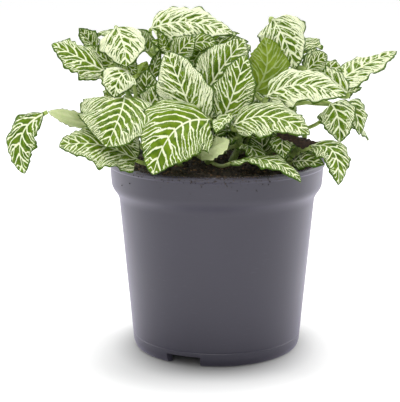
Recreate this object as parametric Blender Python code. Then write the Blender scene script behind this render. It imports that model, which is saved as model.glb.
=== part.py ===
"""Potted nerve plant: a 120 mm nursery pot, its soil, the shoots that come up out of it, and every leaf.

The origin is on the pot's axis at the surface that it stands on, with +Z up and -Y to the front.
Sizes are in millimetres and become metres where a mesh is made.
"""
import math

import bpy
import numpy as np

MM = 0.001
TOUCH_GAP = 0.3
HANG_GAP = 0.5

# Pot
RIM_RADIUS = 60.0
POT_HEIGHT = 106.0
LIP_HEIGHT = 3.4
BAND_RADIUS = 58.8
BAND_TAPER = 0.6
BAND_BOTTOM = 91.0
SHOULDER_HEIGHT = 6.0
NECK_RADIUS = 53.8
NECK_HEIGHT = 83.0
BAND_STEP = BAND_RADIUS - BAND_TAPER - NECK_RADIUS
HEEL_RADIUS = 46.8
HEEL_HEIGHT = 3.4
FOOT_RADIUS = 43.6
FOOT_RING = 1.8
FLOOR_HEIGHT = 6.6
WALL = 1.2
POT_SIDES = 48
NOTCH_WIDTH = 18.0
NOTCH_HEIGHT = 5.6
NOTCH_COUNT = 3
FIRST_NOTCH = -23.5
DRAIN_RADIUS = 3.5
DRAIN_RING = 31.0
DRAIN_COUNT = 6
DRAIN_SIDES = 16
FIRST_DRAIN = 25.0

# Soil
SOIL_EDGE_HEIGHT = 102.0
SOIL_CROWN = 2.6
SOIL_LUMP = 0.5

# Shoots and leaves
LOOP_SIDES = 8
SHOOT_RADIUS = 2.0
SHOOT_SEAT = 0.6
SHOOT_TIP_RADIUS = 1.3
SHOOT_STEPS = 7
STALK_RADIUS = 1.1
STALK_STEPS = 4
LEAF_THICKNESS = 0.8
LEAF_STEPS = 8
WIDEST_AT = 0.36
BASE_ROUNDNESS = 0.42
TIP_WIDTH = 0.5
WAVES = 2.5

POT_COLOUR = (0.085, 0.082, 0.105, 1.0)
SOIL_COLOUR = (0.030, 0.021, 0.014, 1.0)
SHOOT_COLOUR = (0.220, 0.330, 0.100, 1.0)
LEAF_COLOUR = (0.240, 0.420, 0.090, 1.0)

# Each shoot: where it leaves the soil (x, y), a middle point and its top.
SHOOTS = {
    "left": ((-20, -16), (-40, -16, 128), (-54, -10, 160)),
    "front": ((-4, -16), (-6, -20, 116), (-5, -22, 134)),
    "centre": ((8, -8), (12, -12, 118), (8, -16, 131)),
    "right": ((20, -2), (23, -6, 122), (26, -9, 139)),
    "right_back": ((28, 12), (42, 12, 130), (44, 10, 160)),
    "left_back": ((-14, 10), (-26, 12, 135), (-34, 8, 168)),
    "back": ((4, 24), (4, 32, 125), (6, 34, 156)),
    "low_right": ((34, -12), (42, -16, 112), (47, -19, 121)),
}

# Each leaf: its shoot and how far up it grows, and the blade's base, middle and tip on the midrib; then the
# blade's width, the way its upper side faces, how far the wings fold up and then droop in degrees, and the
# ruffle's height.
LEAVES = {
    "front_big": ("front", 0.95, (-5, -35, 132), (-22, -56, 130), (-33, -67, 109),
                  38, (0.1, -0.8, 0.6), 8, 40, 0.9),
    "front_upright": ("front", 0.72, (-11, -29, 129), (-19, -31, 149), (-27, -24, 167),
                      28, (0, -1, 0.2), 12, 30, 0.8),
    "left_front": ("left", 0.72, (-49, -30, 143), (-51, -49, 135), (-57, -60, 122),
                   45, (0.1, -0.6, 0.8), 16, 42, 0.9),
    "far_left_neck": ("left", 0.44, (-64, -27, 128), (-76, -46, 135), (-86, -59, 140),
                      8, (0, 1, -0.2), 8, 10, 0.3),
    "low_left": ("left", 0.14, (-43, -40, 112), (-62, -52, 122), (-81, -58, 122),
                 30, (0, -0.6, 0.8), 8, 30, 0.9),
    "upper_left": ("left", 0.90, (-61, -16, 156), (-74, -22, 164), (-87, -26, 171),
                   22, (-0.2, -0.7, 0.7), 8, 40, 0.9),
    "left_curl": ("left", 0.97, (-66, -4, 167), (-70, -6, 172), (-74, -8, 178),
                  12, (0.3, -0.8, 0.5), 30, 20, 0.5),
    "left_top": ("left", 0.99, (-54, -8, 178), (-50, -17, 170), (-48, -25, 159),
                 26, (0, -0.7, 0.7), 8, 50, 0.8),
    "left_inner": ("left", 0.85, (-48, -22, 156), (-52, -30, 153), (-54, -35, 144),
                   20, (0, -0.8, 0.6), 8, 40, 0.8),
    "centre_young": ("front", 0.84, (6, -31, 134), (2, -38, 131), (-1, -45, 127),
                     11, (-0.4, -0.7, 0.4), 14, 10, 0.5),
    "centre_pale": ("centre", 0.40, (-8, -36, 115), (-1, -43, 119), (6, -46, 123),
                    14, (0.2, 0.7, -0.8), 10, 20, 0.5),
    "behind_upright": ("front", 0.99, (-8, -18, 141), (3, -13, 158), (15, -6, 172),
                       27, (0.1, -1, 0.3), 8, 35, 0.8),
    "centre_upright": ("centre", 0.99, (3, -23, 131), (9, -24, 147), (15, -18, 165),
                       23, (0, -1, 0.1), 12, 30, 0.8),
    "front_right": ("centre", 0.80, (9, -32, 129), (27, -42, 135), (47, -51, 127),
                    27, (0.2, -0.7, 0.8), 8, 40, 0.9),
    "right_underside": ("right", 0.99, (21, -6, 144), (27, -4, 157), (26, 3, 172),
                        25, (0.1, 1, -0.2), 6, 30, 0.7),
    "right_top": ("right_back", 0.99, (31, 13, 181), (37, 8, 171), (43, 2, 155),
                  27, (0.1, -1, 0.3), 8, 40, 0.9),
    "right_top_low": ("right_back", 0.92, (50, 3, 155), (55, 0, 160), (60, -1, 163),
                      13, (0.2, -0.8, 0.4), 6, 40, 0.6),
    "right_cream": ("right", 0.86, (27, -21, 143), (44, -29, 150), (67, -36, 145),
                    27, (0.2, -0.7, 0.7), 8, 40, 0.9),
    "right_droop": ("right", 0.95, (61, -18, 138), (64, -24, 132), (65, -27, 119),
                    20, (0, -0.9, 0.4), 10, 30, 0.5),
    "right_lobe": ("right_back", 0.62, (70, -8, 136), (75, -12, 132), (77, -14, 121),
                   15, (0.4, -0.9, 0.2), 10, 30, 0.5),
    "right_hanging": ("low_right", 0.70, (50, -34, 118), (60, -46, 117), (62, -53, 101),
                      18, (0.3, -0.7, 0.7), 8, 40, 0.7),
    "over_rim": ("front", 0.10, (8, -38, 110), (26, -53, 114), (42, -64, 105),
                 20, (0, -0.1, 1), 6, 30, 0.6),
    "low_shaded": ("low_right", 0.40, (36, -24, 121), (34, -31, 119), (35, -36, 112),
                   14, (0, -0.8, 0.5), 8, 30, 0.5),
    "low_ruffled": ("low_right", 0.15, (41, -25, 108), (47, -31, 110), (56, -37, 109),
                    11, (0, -0.7, 0.7), 8, 20, 0.6),
    "far_right": ("right_back", 0.70, (63, 13, 143), (83, 33, 153), (106, 54, 160),
                  20, (-0.1, -0.6, 0.8), 8, 40, 0.8),
    "right_small": ("right_back", 0.80, (56, 12, 147), (63, 14, 154), (70, 16, 152),
                    13, (0, -0.8, 0.6), 8, 40, 0.6),
    "right_small_back": ("right_back", 0.86, (53, 19, 152), (56, 21, 158), (60, 22, 162),
                         10, (0, -1, 0.3), 8, 30, 0.4),
    "top_wide": ("left_back", 0.99, (-36, 14, 176), (-16, 9, 180), (9, 4, 174),
                 25, (0, -0.8, 0.6), 6, 40, 0.9),
    "top_bud": ("left_back", 0.96, (-29, -2, 166), (-30, -4, 171), (-32, -6, 177),
                7, (0.2, -1, 0.2), 30, 10, 0.3),
    "top_young": ("left_back", 0.93, (-16, 1, 167), (-8, 0, 170), (0, -2, 168),
                  11, (0, -0.9, 0.4), 6, 30, 0.4),
    "top_inner": ("left_back", 0.78, (-22, 13, 165), (-25, 11, 166), (-28, 9, 168),
                  10, (0, -0.8, 0.6), 8, 30, 0.5),
    "top_left": ("left_back", 0.92, (-38, 3, 165), (-41, 0, 171), (-44, -3, 177),
                 13, (-0.1, -0.9, 0.4), 8, 30, 0.5),
    "shaded_fold": ("left_back", 0.60, (-45, 1, 146), (-42, 2, 153), (-38, 2, 159),
                    11, (0.2, 0.9, -0.3), 20, 10, 0.3),
    "shaded_low": ("left_back", 0.40, (-37, -10, 138), (-38, -12, 147), (-38, -10, 156),
                   14, (0, -1, 0.2), 8, 30, 0.5),
    "left_behind": ("left", 0.80, (-62, -1, 150), (-64, 4, 159), (-66, 7, 168),
                    16, (-0.1, -1, 0.2), 8, 30, 0.6),
    "back_left_low": ("left_back", 0.50, (-40, 28, 138), (-52, 42, 142), (-60, 57, 130),
                      34, (-0.4, 0.5, 0.9), 8, 45, 1.0),
    "back_left_high": ("left_back", 0.88, (-38, 22, 162), (-47, 36, 167), (-54, 52, 158),
                       30, (-0.3, 0.6, 0.8), 8, 45, 1.0),
    "back_low": ("back", 0.60, (-6, 40, 135), (-13, 56, 137), (-18, 68, 120),
                 38, (-0.2, 0.6, 0.8), 8, 45, 1.0),
    "back_high": ("back", 0.99, (6, 41, 160), (5, 54, 165), (3, 68, 155),
                  32, (0, 0.6, 0.8), 8, 45, 1.0),
    "back_right_low": ("back", 0.50, (22, 38, 130), (34, 51, 132), (44, 62, 116),
                       34, (0.3, 0.6, 0.8), 8, 45, 1.0),
    "back_right_high": ("right_back", 0.90, (42, 22, 163), (46, 36, 168), (50, 52, 158),
                        30, (0.2, 0.6, 0.8), 8, 45, 1.0),
    "right_side_low": ("right_back", 0.35, (58, 14, 124), (73, 19, 126), (87, 24, 112),
                       30, (0.6, 0.1, 0.8), 8, 45, 1.0),
    "left_side_low": ("left", 0.40, (-53, 8, 124), (-62, 18, 127), (-68, 28, 117),
                      28, (-0.6, 0.2, 0.8), 8, 45, 0.9),
    "top_centre": ("back", 0.94, (0, 24, 160), (2, 16, 167), (6, 6, 170),
                   26, (0.1, -0.8, 0.6), 8, 40, 0.8),
    "right_back_mid": ("right_back", 0.60, (52, 30, 140), (62, 43, 144), (70, 54, 134),
                       28, (0.4, 0.5, 0.8), 8, 45, 0.9),
    "left_back_top": ("left_back", 0.95, (-46, 18, 170), (-60, 23, 174), (-74, 27, 166),
                      26, (-0.4, 0.2, 0.9), 8, 45, 0.9),
    "back_rim": ("back", 0.20, (10, 40, 113), (15, 54, 117), (20, 67, 107),
                 26, (0.1, 0.4, 0.9), 8, 40, 0.8),
    "top_fill": ("left_back", 0.86, (-22, -5, 162), (-18, -8, 168), (-12, -9, 173),
                 15, (0, -0.9, 0.4), 8, 35, 0.6),
    "left_mid": ("left", 0.55, (-38, -21, 136), (-33, -28, 143), (-30, -30, 151),
                 15, (0.1, -1, 0.2), 8, 35, 0.6),
}
# This leaf hangs from the end of the narrow one beside it.
FAR_LEFT = ((-88, -60, 139), (-99, -64, 128), (-98, -64, 109), 16, (-0.2, -0.9, 0.3), 8, 35, 0.9, 0.52)


def direction(vector):
    """The vector scaled to length 1."""
    vector = np.asarray(vector, float)
    return vector / np.linalg.norm(vector)


def bezier(points, steps):
    """Places and unit tangents along a Bezier curve at the given steps from 0 to 1."""
    points = np.asarray(points, float)
    order = len(points) - 1
    t = np.asarray(steps, float)[:, None]
    places = sum(math.comb(order, k) * (1 - t) ** (order - k) * t**k * p for k, p in enumerate(points))
    spans = np.diff(points, axis=0)
    slopes = sum(
        math.comb(order - 1, k) * (1 - t) ** (order - 1 - k) * t**k * span for k, span in enumerate(spans)
    )
    return places, slopes / np.linalg.norm(slopes, axis=1)[:, None]


def through_middle(start, middle, end):
    """The three Bezier points of the arc that passes through the middle point halfway along."""
    start, middle, end = (np.asarray(p, float) for p in (start, middle, end))
    return start, 2 * middle - (start + end) / 2, end


def across(tangent, facing):
    """The unit vector square to the tangent and to the way the surface faces."""
    return direction(np.cross(tangent, facing))


def make_object(name, vertices, faces, material):
    """A smooth-shaded mesh object from places in millimetres."""
    mesh = bpy.data.meshes.new(name)
    mesh.from_pydata((np.asarray(vertices) * MM).tolist(), [], faces)
    mesh.materials.append(material)
    mesh.shade_smooth()
    part = bpy.data.objects.new(name, mesh)
    bpy.context.collection.objects.link(part)
    return part


def make_material(name, colour, roughness):
    material = bpy.data.materials.new(name)
    material.use_nodes = True
    shader = material.node_tree.nodes["Principled BSDF"]
    shader.inputs["Base Color"].default_value = colour
    shader.inputs["Roughness"].default_value = roughness
    shader.inputs["Metallic"].default_value = 0.0
    return material


def loft_faces(loops, sides):
    """Quads between successive closed loops, with a flat cap on each end, facing out."""
    faces = []
    for row in range(loops - 1):
        for k in range(sides):
            here, beside = row * sides + k, row * sides + (k + 1) % sides
            faces.append((here, beside, beside + sides, here + sides))
    faces.append(tuple(reversed(range(sides))))
    faces.append(tuple(range((loops - 1) * sides, loops * sides)))
    return faces


def turned(profile, sides):
    """Vertices and faces of a closed (radius, height) outline turned about Z. A radius of 0 closes a pole."""
    vertices, rows, faces = [], [], []
    for radius, height in profile:
        count = sides if radius > 0 else 1
        rows.append([len(vertices) + k for k in range(count)])
        turns = [2 * math.pi * k / sides for k in range(count)]
        vertices += [(radius * math.cos(a), radius * math.sin(a), height) for a in turns]
    for upper, lower in zip(rows, rows[1:] + rows[:1]):
        for k in range(sides):
            ring = [upper[k % len(upper)], upper[(k + 1) % len(upper)]]
            ring += [lower[(k + 1) % len(lower)], lower[k % len(lower)]]
            corners = list(dict.fromkeys(ring))
            if len(corners) > 2:
                faces.append(tuple(reversed(corners)))
    return vertices, faces


def inner_radius(height):
    """The radius of the pot's inside wall at a height between its floor and its lip."""
    heights = (HEEL_HEIGHT, NECK_HEIGHT, BAND_BOTTOM, POT_HEIGHT)
    radii = (HEEL_RADIUS, NECK_RADIUS, BAND_RADIUS - BAND_TAPER, BAND_RADIUS)
    return float(np.interp(height, heights, radii)) - WALL


def make_pot():
    """The pot is one turned wall. Notches are cut in its foot ring and drain holes in its raised floor."""
    floor_top = FLOOR_HEIGHT + WALL
    lip_bottom = POT_HEIGHT - LIP_HEIGHT
    shoulder = [
        (NECK_RADIUS + BAND_STEP * math.cos(a), BAND_BOTTOM - SHOULDER_HEIGHT * math.sin(a))
        for a in np.radians((0, 30, 60))
    ]
    heel = [
        (HEEL_RADIUS - (HEEL_RADIUS - FOOT_RADIUS) * (1 - math.cos(a)), HEEL_HEIGHT * (1 - math.sin(a)))
        for a in np.radians((0, 35, 65))
    ]
    outside = [
        (RIM_RADIUS - 1.0, POT_HEIGHT),
        (RIM_RADIUS, POT_HEIGHT - 0.8),
        (RIM_RADIUS - 0.2, POT_HEIGHT - 2.0),
        (BAND_RADIUS, lip_bottom),
        *shoulder,
        (NECK_RADIUS, NECK_HEIGHT),
        *heel,
        (FOOT_RADIUS, 0.0),
    ]
    underside = [
        (FOOT_RADIUS - FOOT_RING, 0.0),
        (FOOT_RADIUS - FOOT_RING + 0.6, FLOOR_HEIGHT),
        (0.0, FLOOR_HEIGHT),
    ]
    inside = [
        (0.0, floor_top),
        (inner_radius(floor_top), floor_top),
        (inner_radius(NECK_HEIGHT), NECK_HEIGHT),
        (inner_radius(BAND_BOTTOM), BAND_BOTTOM),
        (inner_radius(POT_HEIGHT), POT_HEIGHT - 1.0),
        (inner_radius(POT_HEIGHT) + 0.4, POT_HEIGHT),
    ]
    pot = make_object("pot", *turned(outside + underside + inside, POT_SIDES), POT_PLASTIC)
    for k in range(NOTCH_COUNT):
        angle = math.radians(FIRST_NOTCH - 90 + k * 360 / NOTCH_COUNT)
        reach = (FOOT_RADIUS - 6.0, HEEL_RADIUS + 4.0)
        corners = [
            (r * math.cos(angle) - w * math.sin(angle), r * math.sin(angle) + w * math.cos(angle), z)
            for r in reach
            for w in (-NOTCH_WIDTH / 2, NOTCH_WIDTH / 2)
            for z in (-2.0, NOTCH_HEIGHT)
        ]
        box = [(0, 1, 3, 2), (4, 6, 7, 5), (0, 4, 5, 1), (2, 3, 7, 6), (0, 2, 6, 4), (1, 5, 7, 3)]
        cut(pot, make_object(f"notch_cutter_{k}", corners, box, POT_PLASTIC))
    for k in range(DRAIN_COUNT):
        angle = math.radians(FIRST_DRAIN + k * 360 / DRAIN_COUNT)
        turns = [2 * math.pi * s / DRAIN_SIDES for s in range(DRAIN_SIDES)]
        holes = [
            (
                DRAIN_RING * math.cos(angle) + DRAIN_RADIUS * math.cos(a),
                DRAIN_RING * math.sin(angle) + DRAIN_RADIUS * math.sin(a),
                z,
            )
            for z in (FLOOR_HEIGHT - 1.0, floor_top + 1.0)
            for a in turns
        ]
        cut(pot, make_object(f"drain_cutter_{k}", holes, loft_faces(2, DRAIN_SIDES), POT_PLASTIC))
    return pot


def cut(part, cutter):
    """Takes the cutter's shape out of the part with a Boolean, and keeps the cutter out of sight."""
    cutter.hide_render = True
    cutter.display_type = "WIRE"
    boolean = part.modifiers.new(cutter.name, "BOOLEAN")
    boolean.operation = "DIFFERENCE"
    boolean.solver = "EXACT"
    boolean.object = cutter


def soil_height(x, y):
    """The soil's top: a low crown with rounded lumps."""
    share = 1 - (x**2 + y**2) / (BAND_RADIUS**2)
    lumps = math.sin(0.21 * x + 0.6) * math.cos(0.17 * y) + math.sin(0.13 * (x - y))
    return SOIL_EDGE_HEIGHT + SOIL_CROWN * share + SOIL_LUMP * lumps * share


def make_soil():
    """The soil is a plug that fills the pot to just under the rim, a touch smaller than its inside."""
    sides = POT_SIDES // 2
    floor_top = FLOOR_HEIGHT + WALL + TOUCH_GAP
    slack = TOUCH_GAP + inner_radius(NECK_HEIGHT) * (1 - math.cos(math.pi / sides))
    wall = [
        (inner_radius(height) - slack, height)
        for height in (SOIL_EDGE_HEIGHT, BAND_BOTTOM, NECK_HEIGHT, floor_top)
    ]
    top = [(wall[0][0] * share, SOIL_EDGE_HEIGHT) for share in (0.0, 0.25, 0.5, 0.75)]
    vertices, faces = turned(top + wall + [(0.0, floor_top)], sides)
    lifted = [(x, y, soil_height(x, y)) if z == SOIL_EDGE_HEIGHT else (x, y, z) for x, y, z in vertices]
    return make_object("soil", lifted, faces, SOIL)


def shoot_path(name):
    """The Bezier points of a shoot, from just above the soil to its top."""
    (x, y), middle, top = SHOOTS[name]
    return through_middle((x, y, soil_height(x, y) + SHOOT_SEAT), middle, top)


def shoot_radius(share):
    return SHOOT_RADIUS + (SHOOT_TIP_RADIUS - SHOOT_RADIUS) * share


def ring(place, side, up, radius):
    """A loop of points round a place, from the far side over the top."""
    turns = np.pi - 2 * np.pi * np.arange(LOOP_SIDES) / LOOP_SIDES
    return place + radius * (np.outer(np.cos(turns), side) + np.outer(np.sin(turns), up))


def make_shoot(name):
    """A shoot is a round stalk that leaves the soil upright and narrows to a rounded top."""
    steps = np.linspace(0, 1, SHOOT_STEPS)
    start, bend, top = shoot_path(name)
    places, tangents = bezier((start, bend, top), steps)
    tangents[0] = (0, 0, 1)
    side = across(tangents[0], (0, 1, 0))
    loops = []
    for place, tangent, share in zip(places, tangents, steps):
        side = direction(side - tangent * side.dot(tangent))
        loops.append(ring(place, side, np.cross(side, tangent), shoot_radius(share)))
    end = places[-1] + tangents[-1] * 0.9
    loops.append(ring(end, side, np.cross(side, tangents[-1]), SHOOT_TIP_RADIUS * 0.6))
    return make_object(f"shoot_{name}", np.concatenate(loops), loft_faces(len(loops), LOOP_SIDES), SHOOT)


def half_width(share, width, widest):
    """The blade's half width along the midrib: rounded at the base, pointed at the tip."""
    base_point = BASE_ROUNDNESS + 2 * (widest - WIDEST_AT)
    tip_point = base_point * (1 - widest) / widest
    shape = (share / widest) ** base_point * ((1 - share) / (1 - widest)) ** tip_point
    return max(width / 2 * shape, TIP_WIDTH)


def wing(reach, fold, droop):
    """How far out and how far up a wing runs from the midrib, for each share of its width."""
    fine = (np.arange(20) + 0.5) / 20
    angle = np.radians(fold - droop * fine**1.5)
    out = np.interp(reach, np.append(0, fine + 0.025), np.append(0, np.cumsum(np.cos(angle)) / 20))
    up = np.interp(reach, np.append(0, fine + 0.025), np.append(0, np.cumsum(np.sin(angle)) / 20))
    return out, up


def blade_loop(place, tangent, facing, share, leaf):
    """One closed loop round the blade: over the upper side from margin to margin, and back underneath."""
    width, fold, droop, wave, widest, phase = leaf
    side = across(tangent, facing)
    up = np.cross(side, tangent)
    spread = half_width(share, width, widest)
    reach = np.array([-1, -0.5, 0, 0.5, 1])
    out, rise = wing(np.abs(reach), fold, droop)
    ruffle = wave * np.abs(reach) ** 2.5 * np.sin(2 * np.pi * (WAVES * share + phase + 0.37 * (reach > 0)))
    middle = place + np.outer(np.sign(reach) * out * spread, side)
    middle = middle + np.outer(rise * spread + ruffle * math.sin(math.pi * share), up)
    over = middle + LEAF_THICKNESS / 2 * up
    under = middle - LEAF_THICKNESS / 2 * up
    return np.concatenate([middle[:1], over[1:4], middle[4:], under[3:0:-1]])


def make_leaf(
    name, number, root, leave, base, middle, tip, width, facing, fold, droop, wave, widest=WIDEST_AT
):
    """A leaf is a round stalk from its root that flattens into the blade, in one closed skin."""
    phase = number * 0.618
    midrib = through_middle(base, middle, tip)
    start = direction(midrib[1] - midrib[0])
    reach = 0.35 * np.linalg.norm(midrib[0] - root)
    stalk = (root, root + leave * reach, midrib[0] - start * reach, midrib[0])
    places, tangents = bezier(stalk, np.linspace(0, 1, STALK_STEPS))
    sides = [across(start, facing)]
    for tangent in tangents[-2::-1]:
        sides.append(direction(sides[-1] - tangent * sides[-1].dot(tangent)))
    loops = [
        ring(place, side, np.cross(side, tangent), STALK_RADIUS)
        for place, tangent, side in zip(places, tangents, reversed(sides))
    ]
    shares = np.linspace(0.0, 1.0, LEAF_STEPS + 1)[1:] ** 1.15
    shares[-1] = 0.995
    places, tangents = bezier(midrib, shares)
    numbers = (width, fold, droop, wave, widest, phase)
    loops += [blade_loop(p, t, facing, s, numbers) for p, t, s in zip(places, tangents, shares)]
    return make_object(f"leaf_{name}", np.concatenate(loops), loft_faces(len(loops), LOOP_SIDES), LEAF)


def make_leaf_on_shoot(name, number, shoot, share, base, *shape):
    """The stalk starts just off the shoot's side, square to it, on the side nearest the blade."""
    places, tangents = bezier(shoot_path(shoot), [share])
    place, tangent = places[0], tangents[0]
    away = np.asarray(base, float) - place
    leave = direction(away - tangent * away.dot(tangent))
    root = place + leave * (shoot_radius(share) + TOUCH_GAP)
    return make_leaf(name, number, root, leave, base, *shape)


for old in list(bpy.data.objects):
    bpy.data.objects.remove(old)

POT_PLASTIC = make_material("pot_plastic", POT_COLOUR, 0.42)
SOIL = make_material("soil", SOIL_COLOUR, 0.95)
SHOOT = make_material("shoot", SHOOT_COLOUR, 0.55)
LEAF = make_material("leaf", LEAF_COLOUR, 0.45)

make_pot()
make_soil()
for shoot_name in SHOOTS:
    make_shoot(shoot_name)
for leaf_number, (leaf_name, leaf_shape) in enumerate(LEAVES.items()):
    make_leaf_on_shoot(leaf_name, leaf_number, *leaf_shape)
neck_tip = np.array(LEAVES["far_left_neck"][4], float)
hang_start = direction(np.array(FAR_LEFT[0], float) - neck_tip)
make_leaf("far_left", len(LEAVES), neck_tip + hang_start * HANG_GAP, hang_start, *FAR_LEFT)
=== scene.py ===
"""A nerve plant in its nursery pot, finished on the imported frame: pot, soil, shoots and every leaf.

Sizes are in millimetres and become metres where a mesh is made. The origin is on the pot's axis at the
surface that it stands on, with +Z up and -Y to the front.
"""
import math

import bmesh
import bpy
import numpy as np
from mathutils.bvhtree import BVHTree
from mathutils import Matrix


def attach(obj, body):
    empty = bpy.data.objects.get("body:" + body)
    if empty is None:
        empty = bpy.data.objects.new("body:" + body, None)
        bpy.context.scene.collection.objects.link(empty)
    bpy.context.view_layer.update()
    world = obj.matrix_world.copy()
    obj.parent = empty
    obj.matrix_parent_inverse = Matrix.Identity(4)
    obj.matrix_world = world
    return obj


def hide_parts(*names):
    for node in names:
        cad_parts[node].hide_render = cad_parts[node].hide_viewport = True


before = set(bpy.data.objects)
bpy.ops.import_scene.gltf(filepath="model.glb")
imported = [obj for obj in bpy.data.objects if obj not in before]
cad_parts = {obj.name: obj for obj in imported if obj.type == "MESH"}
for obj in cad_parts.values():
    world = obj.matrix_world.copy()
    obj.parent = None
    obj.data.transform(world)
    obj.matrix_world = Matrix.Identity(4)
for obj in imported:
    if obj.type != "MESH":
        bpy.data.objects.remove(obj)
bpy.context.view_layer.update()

# ---------------------------------------------------------------------------------------------------------
# Studio. The plant stands on a white table in a white room that is brighter behind it. A wide soft light
# hangs above, a softer one in front and one behind each side. The table's colour carries a painted shadow:
# it is darker under the pot, and the table glows more and more outwards, which whitens it as painted light.

LENS = 118.8
CAMERA_PLACE = (-0.0093, -0.720, 0.232)
CAMERA_DIP = 11.8
ROOM_IN_FRONT = 0.28
ROOM_BEHIND = 0.98
ROOM_SEEN = 1.05
TABLE_HALF = 6.0

STAND = bpy.context.scene
STAND.view_settings.view_transform = "Standard"

camera_data = bpy.data.cameras.new("camera")
camera_data.sensor_fit = "HORIZONTAL"
camera_data.sensor_width = 36.0
camera_data.lens = LENS
camera_data.clip_end = 20.0
camera = bpy.data.objects.new("camera", camera_data)
camera.location = CAMERA_PLACE
camera.rotation_euler = (math.radians(90 - CAMERA_DIP), 0, 0)
bpy.context.collection.objects.link(camera)
STAND.camera = camera


class Wire:
    """What a shader node gives out. A wire adds, subtracts, multiplies or divides by a wire or a number."""

    def __init__(self, socket):
        self.socket = socket
        self.tree = socket.id_data

    def __add__(self, other):
        return reckon("ADD", self, other)

    def __sub__(self, other):
        return reckon("SUBTRACT", self, other)

    def __mul__(self, other):
        return reckon("MULTIPLY", self, other)

    def __truediv__(self, other):
        return reckon("DIVIDE", self, other)

    def __abs__(self):
        return reckon("ABSOLUTE", self)


def feed(node, inputs):
    """Links each wire to the node's socket of that name or number. A plain value is set on the socket."""
    for socket, source in inputs.items():
        if isinstance(source, Wire):
            source.tree.links.new(source.socket, node.inputs[socket])
        else:
            node.inputs[socket].default_value = source


def add_node(tree, kind, inputs, output=0, **settings):
    """One wire out of a new shader node, which is given its settings and then its inputs."""
    node = tree.nodes.new(kind)
    for setting, value in settings.items():
        setattr(node, setting, value)
    feed(node, inputs)
    return Wire(node.outputs[output])


def reckon(operation, first, *others):
    """A Math node's result for a wire and any more wires or numbers."""
    return add_node(first.tree, "ShaderNodeMath", dict(enumerate([first, *others])), operation=operation)


def split(vector):
    """A vector's three numbers."""
    numbers = add_node(vector.tree, "ShaderNodeSeparateXYZ", {0: vector})
    return [Wire(socket) for socket in numbers.socket.node.outputs]


def ease(value, low, high, start=0.0, end=1.0):
    """The value carried smoothly from start at low to end at high, and held there."""
    inputs = {"Value": value, "From Min": low, "From Max": high, "To Min": start, "To Max": end}
    return add_node(value.tree, "ShaderNodeMapRange", inputs, interpolation_type="SMOOTHSTEP")


def new_finish(name):
    """A material, its shader, and the object's own coordinates."""
    material = bpy.data.materials.new(name)
    material.use_nodes = True
    tree = material.node_tree
    return material, tree.nodes["Principled BSDF"], add_node(tree, "ShaderNodeTexCoord", {}, "Object")


def paint_room():
    """Even white walls, brighter towards +Y, and whiter still where the camera looks past the table."""
    world = bpy.data.worlds.new("white_room")
    world.use_nodes = True
    tree = world.node_tree
    to_back = split(add_node(tree, "ShaderNodeTexCoord", {}, "Generated"))[1]
    span = {"Value": to_back, "From Min": -1.0, "To Min": ROOM_IN_FRONT, "To Max": ROOM_BEHIND}
    walls = add_node(tree, "ShaderNodeMapRange", span)
    seen = add_node(tree, "ShaderNodeLightPath", {}, "Is Camera Ray") * ROOM_SEEN
    strength = reckon("MAXIMUM", walls, seen)
    feed(tree.nodes["Background"], {"Color": (1.0, 1.0, 1.0, 1.0), "Strength": strength})
    return world


def hang_light(name, place, target, size, power):
    """A square soft light at a place in metres, turned so that it shines at the target."""
    lamp = bpy.data.lights.new(name, "AREA")
    lamp.shape = "SQUARE"
    lamp.size = size
    lamp.energy = power
    light = bpy.data.objects.new(name, lamp)
    away = np.array(place, float) - np.array(target, float)
    tilt = math.atan2(math.hypot(away[0], away[1]), away[2])
    light.location = place
    light.rotation_euler = (tilt, 0, math.atan2(away[1], away[0]) + math.pi / 2)
    bpy.context.collection.objects.link(light)


def distance(where, stretch, shift):
    """How far a place is from the middle, in metres, once it is stretched and then shifted."""
    inputs = {0: where, 1: stretch, 2: shift}
    moved = add_node(where.tree, "ShaderNodeVectorMath", inputs, operation="MULTIPLY_ADD")
    return add_node(where.tree, "ShaderNodeVectorMath", {0: moved}, "Value", operation="LENGTH")


def table_with_painted_shadow():
    """Matt white board with a painted shadow: darker near the pot, and glowing outwards as painted light."""
    material, shader, where = new_finish("table_with_painted_shadow")
    from_pot = distance(where, (1.18, 1.0, 1.0), (0.0, 0.0, 0.0))
    from_plant = distance(where, (1.0, 0.75, 1.0), (0.008, 0.018, 0.0))
    feed(shader, {
        # Painted shadow: the board's colour darkens close to the pot.
        "Base Color": ease(from_pot, 0.038, 0.074, 0.30, 0.74),
        "Roughness": 0.9,
        "Emission Color": (1.0, 1.0, 1.0, 1.0),
        # Painted light: the glow grows away from a middle a little left of and in front of the pot, shaping
        # the painted shadow.
        "Emission Strength": ease(from_plant, 0.02, 0.095, 0.0, 0.50),
    })
    return material


STAND.world = paint_room()
hang_light("light_above", (-0.05, 0.10, 1.30), (0, 0, 0.12), 0.7, 8)
hang_light("light_front", (-0.15, -1.00, 0.60), (0, 0, 0.09), 0.9, 5)
hang_light("light_left", (-1.05, 0.42, 0.42), (0, 0, 0.10), 0.8, 5.6)
hang_light("light_right", (1.05, 0.42, 0.42), (0, 0, 0.10), 0.8, 6.4)
table_corners = [(x * TABLE_HALF, y * TABLE_HALF, 0) for x, y in ((-1, -1), (1, -1), (1, 1), (-1, 1))]
table_mesh = bpy.data.meshes.new("table")
table_mesh.from_pydata(table_corners, [], [(0, 1, 2, 3)])
table_mesh.materials.append(table_with_painted_shadow())
table = bpy.data.objects.new("table", table_mesh)
bpy.context.collection.objects.link(table)

# ---------------------------------------------------------------------------------------------------------
# Pot. Moulded polypropylene, turned about its axis: a rolled lip, a raised band, a tapered wall with a
# mould line low down, and a foot ring with three notches under a floor with six drain holes.

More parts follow.
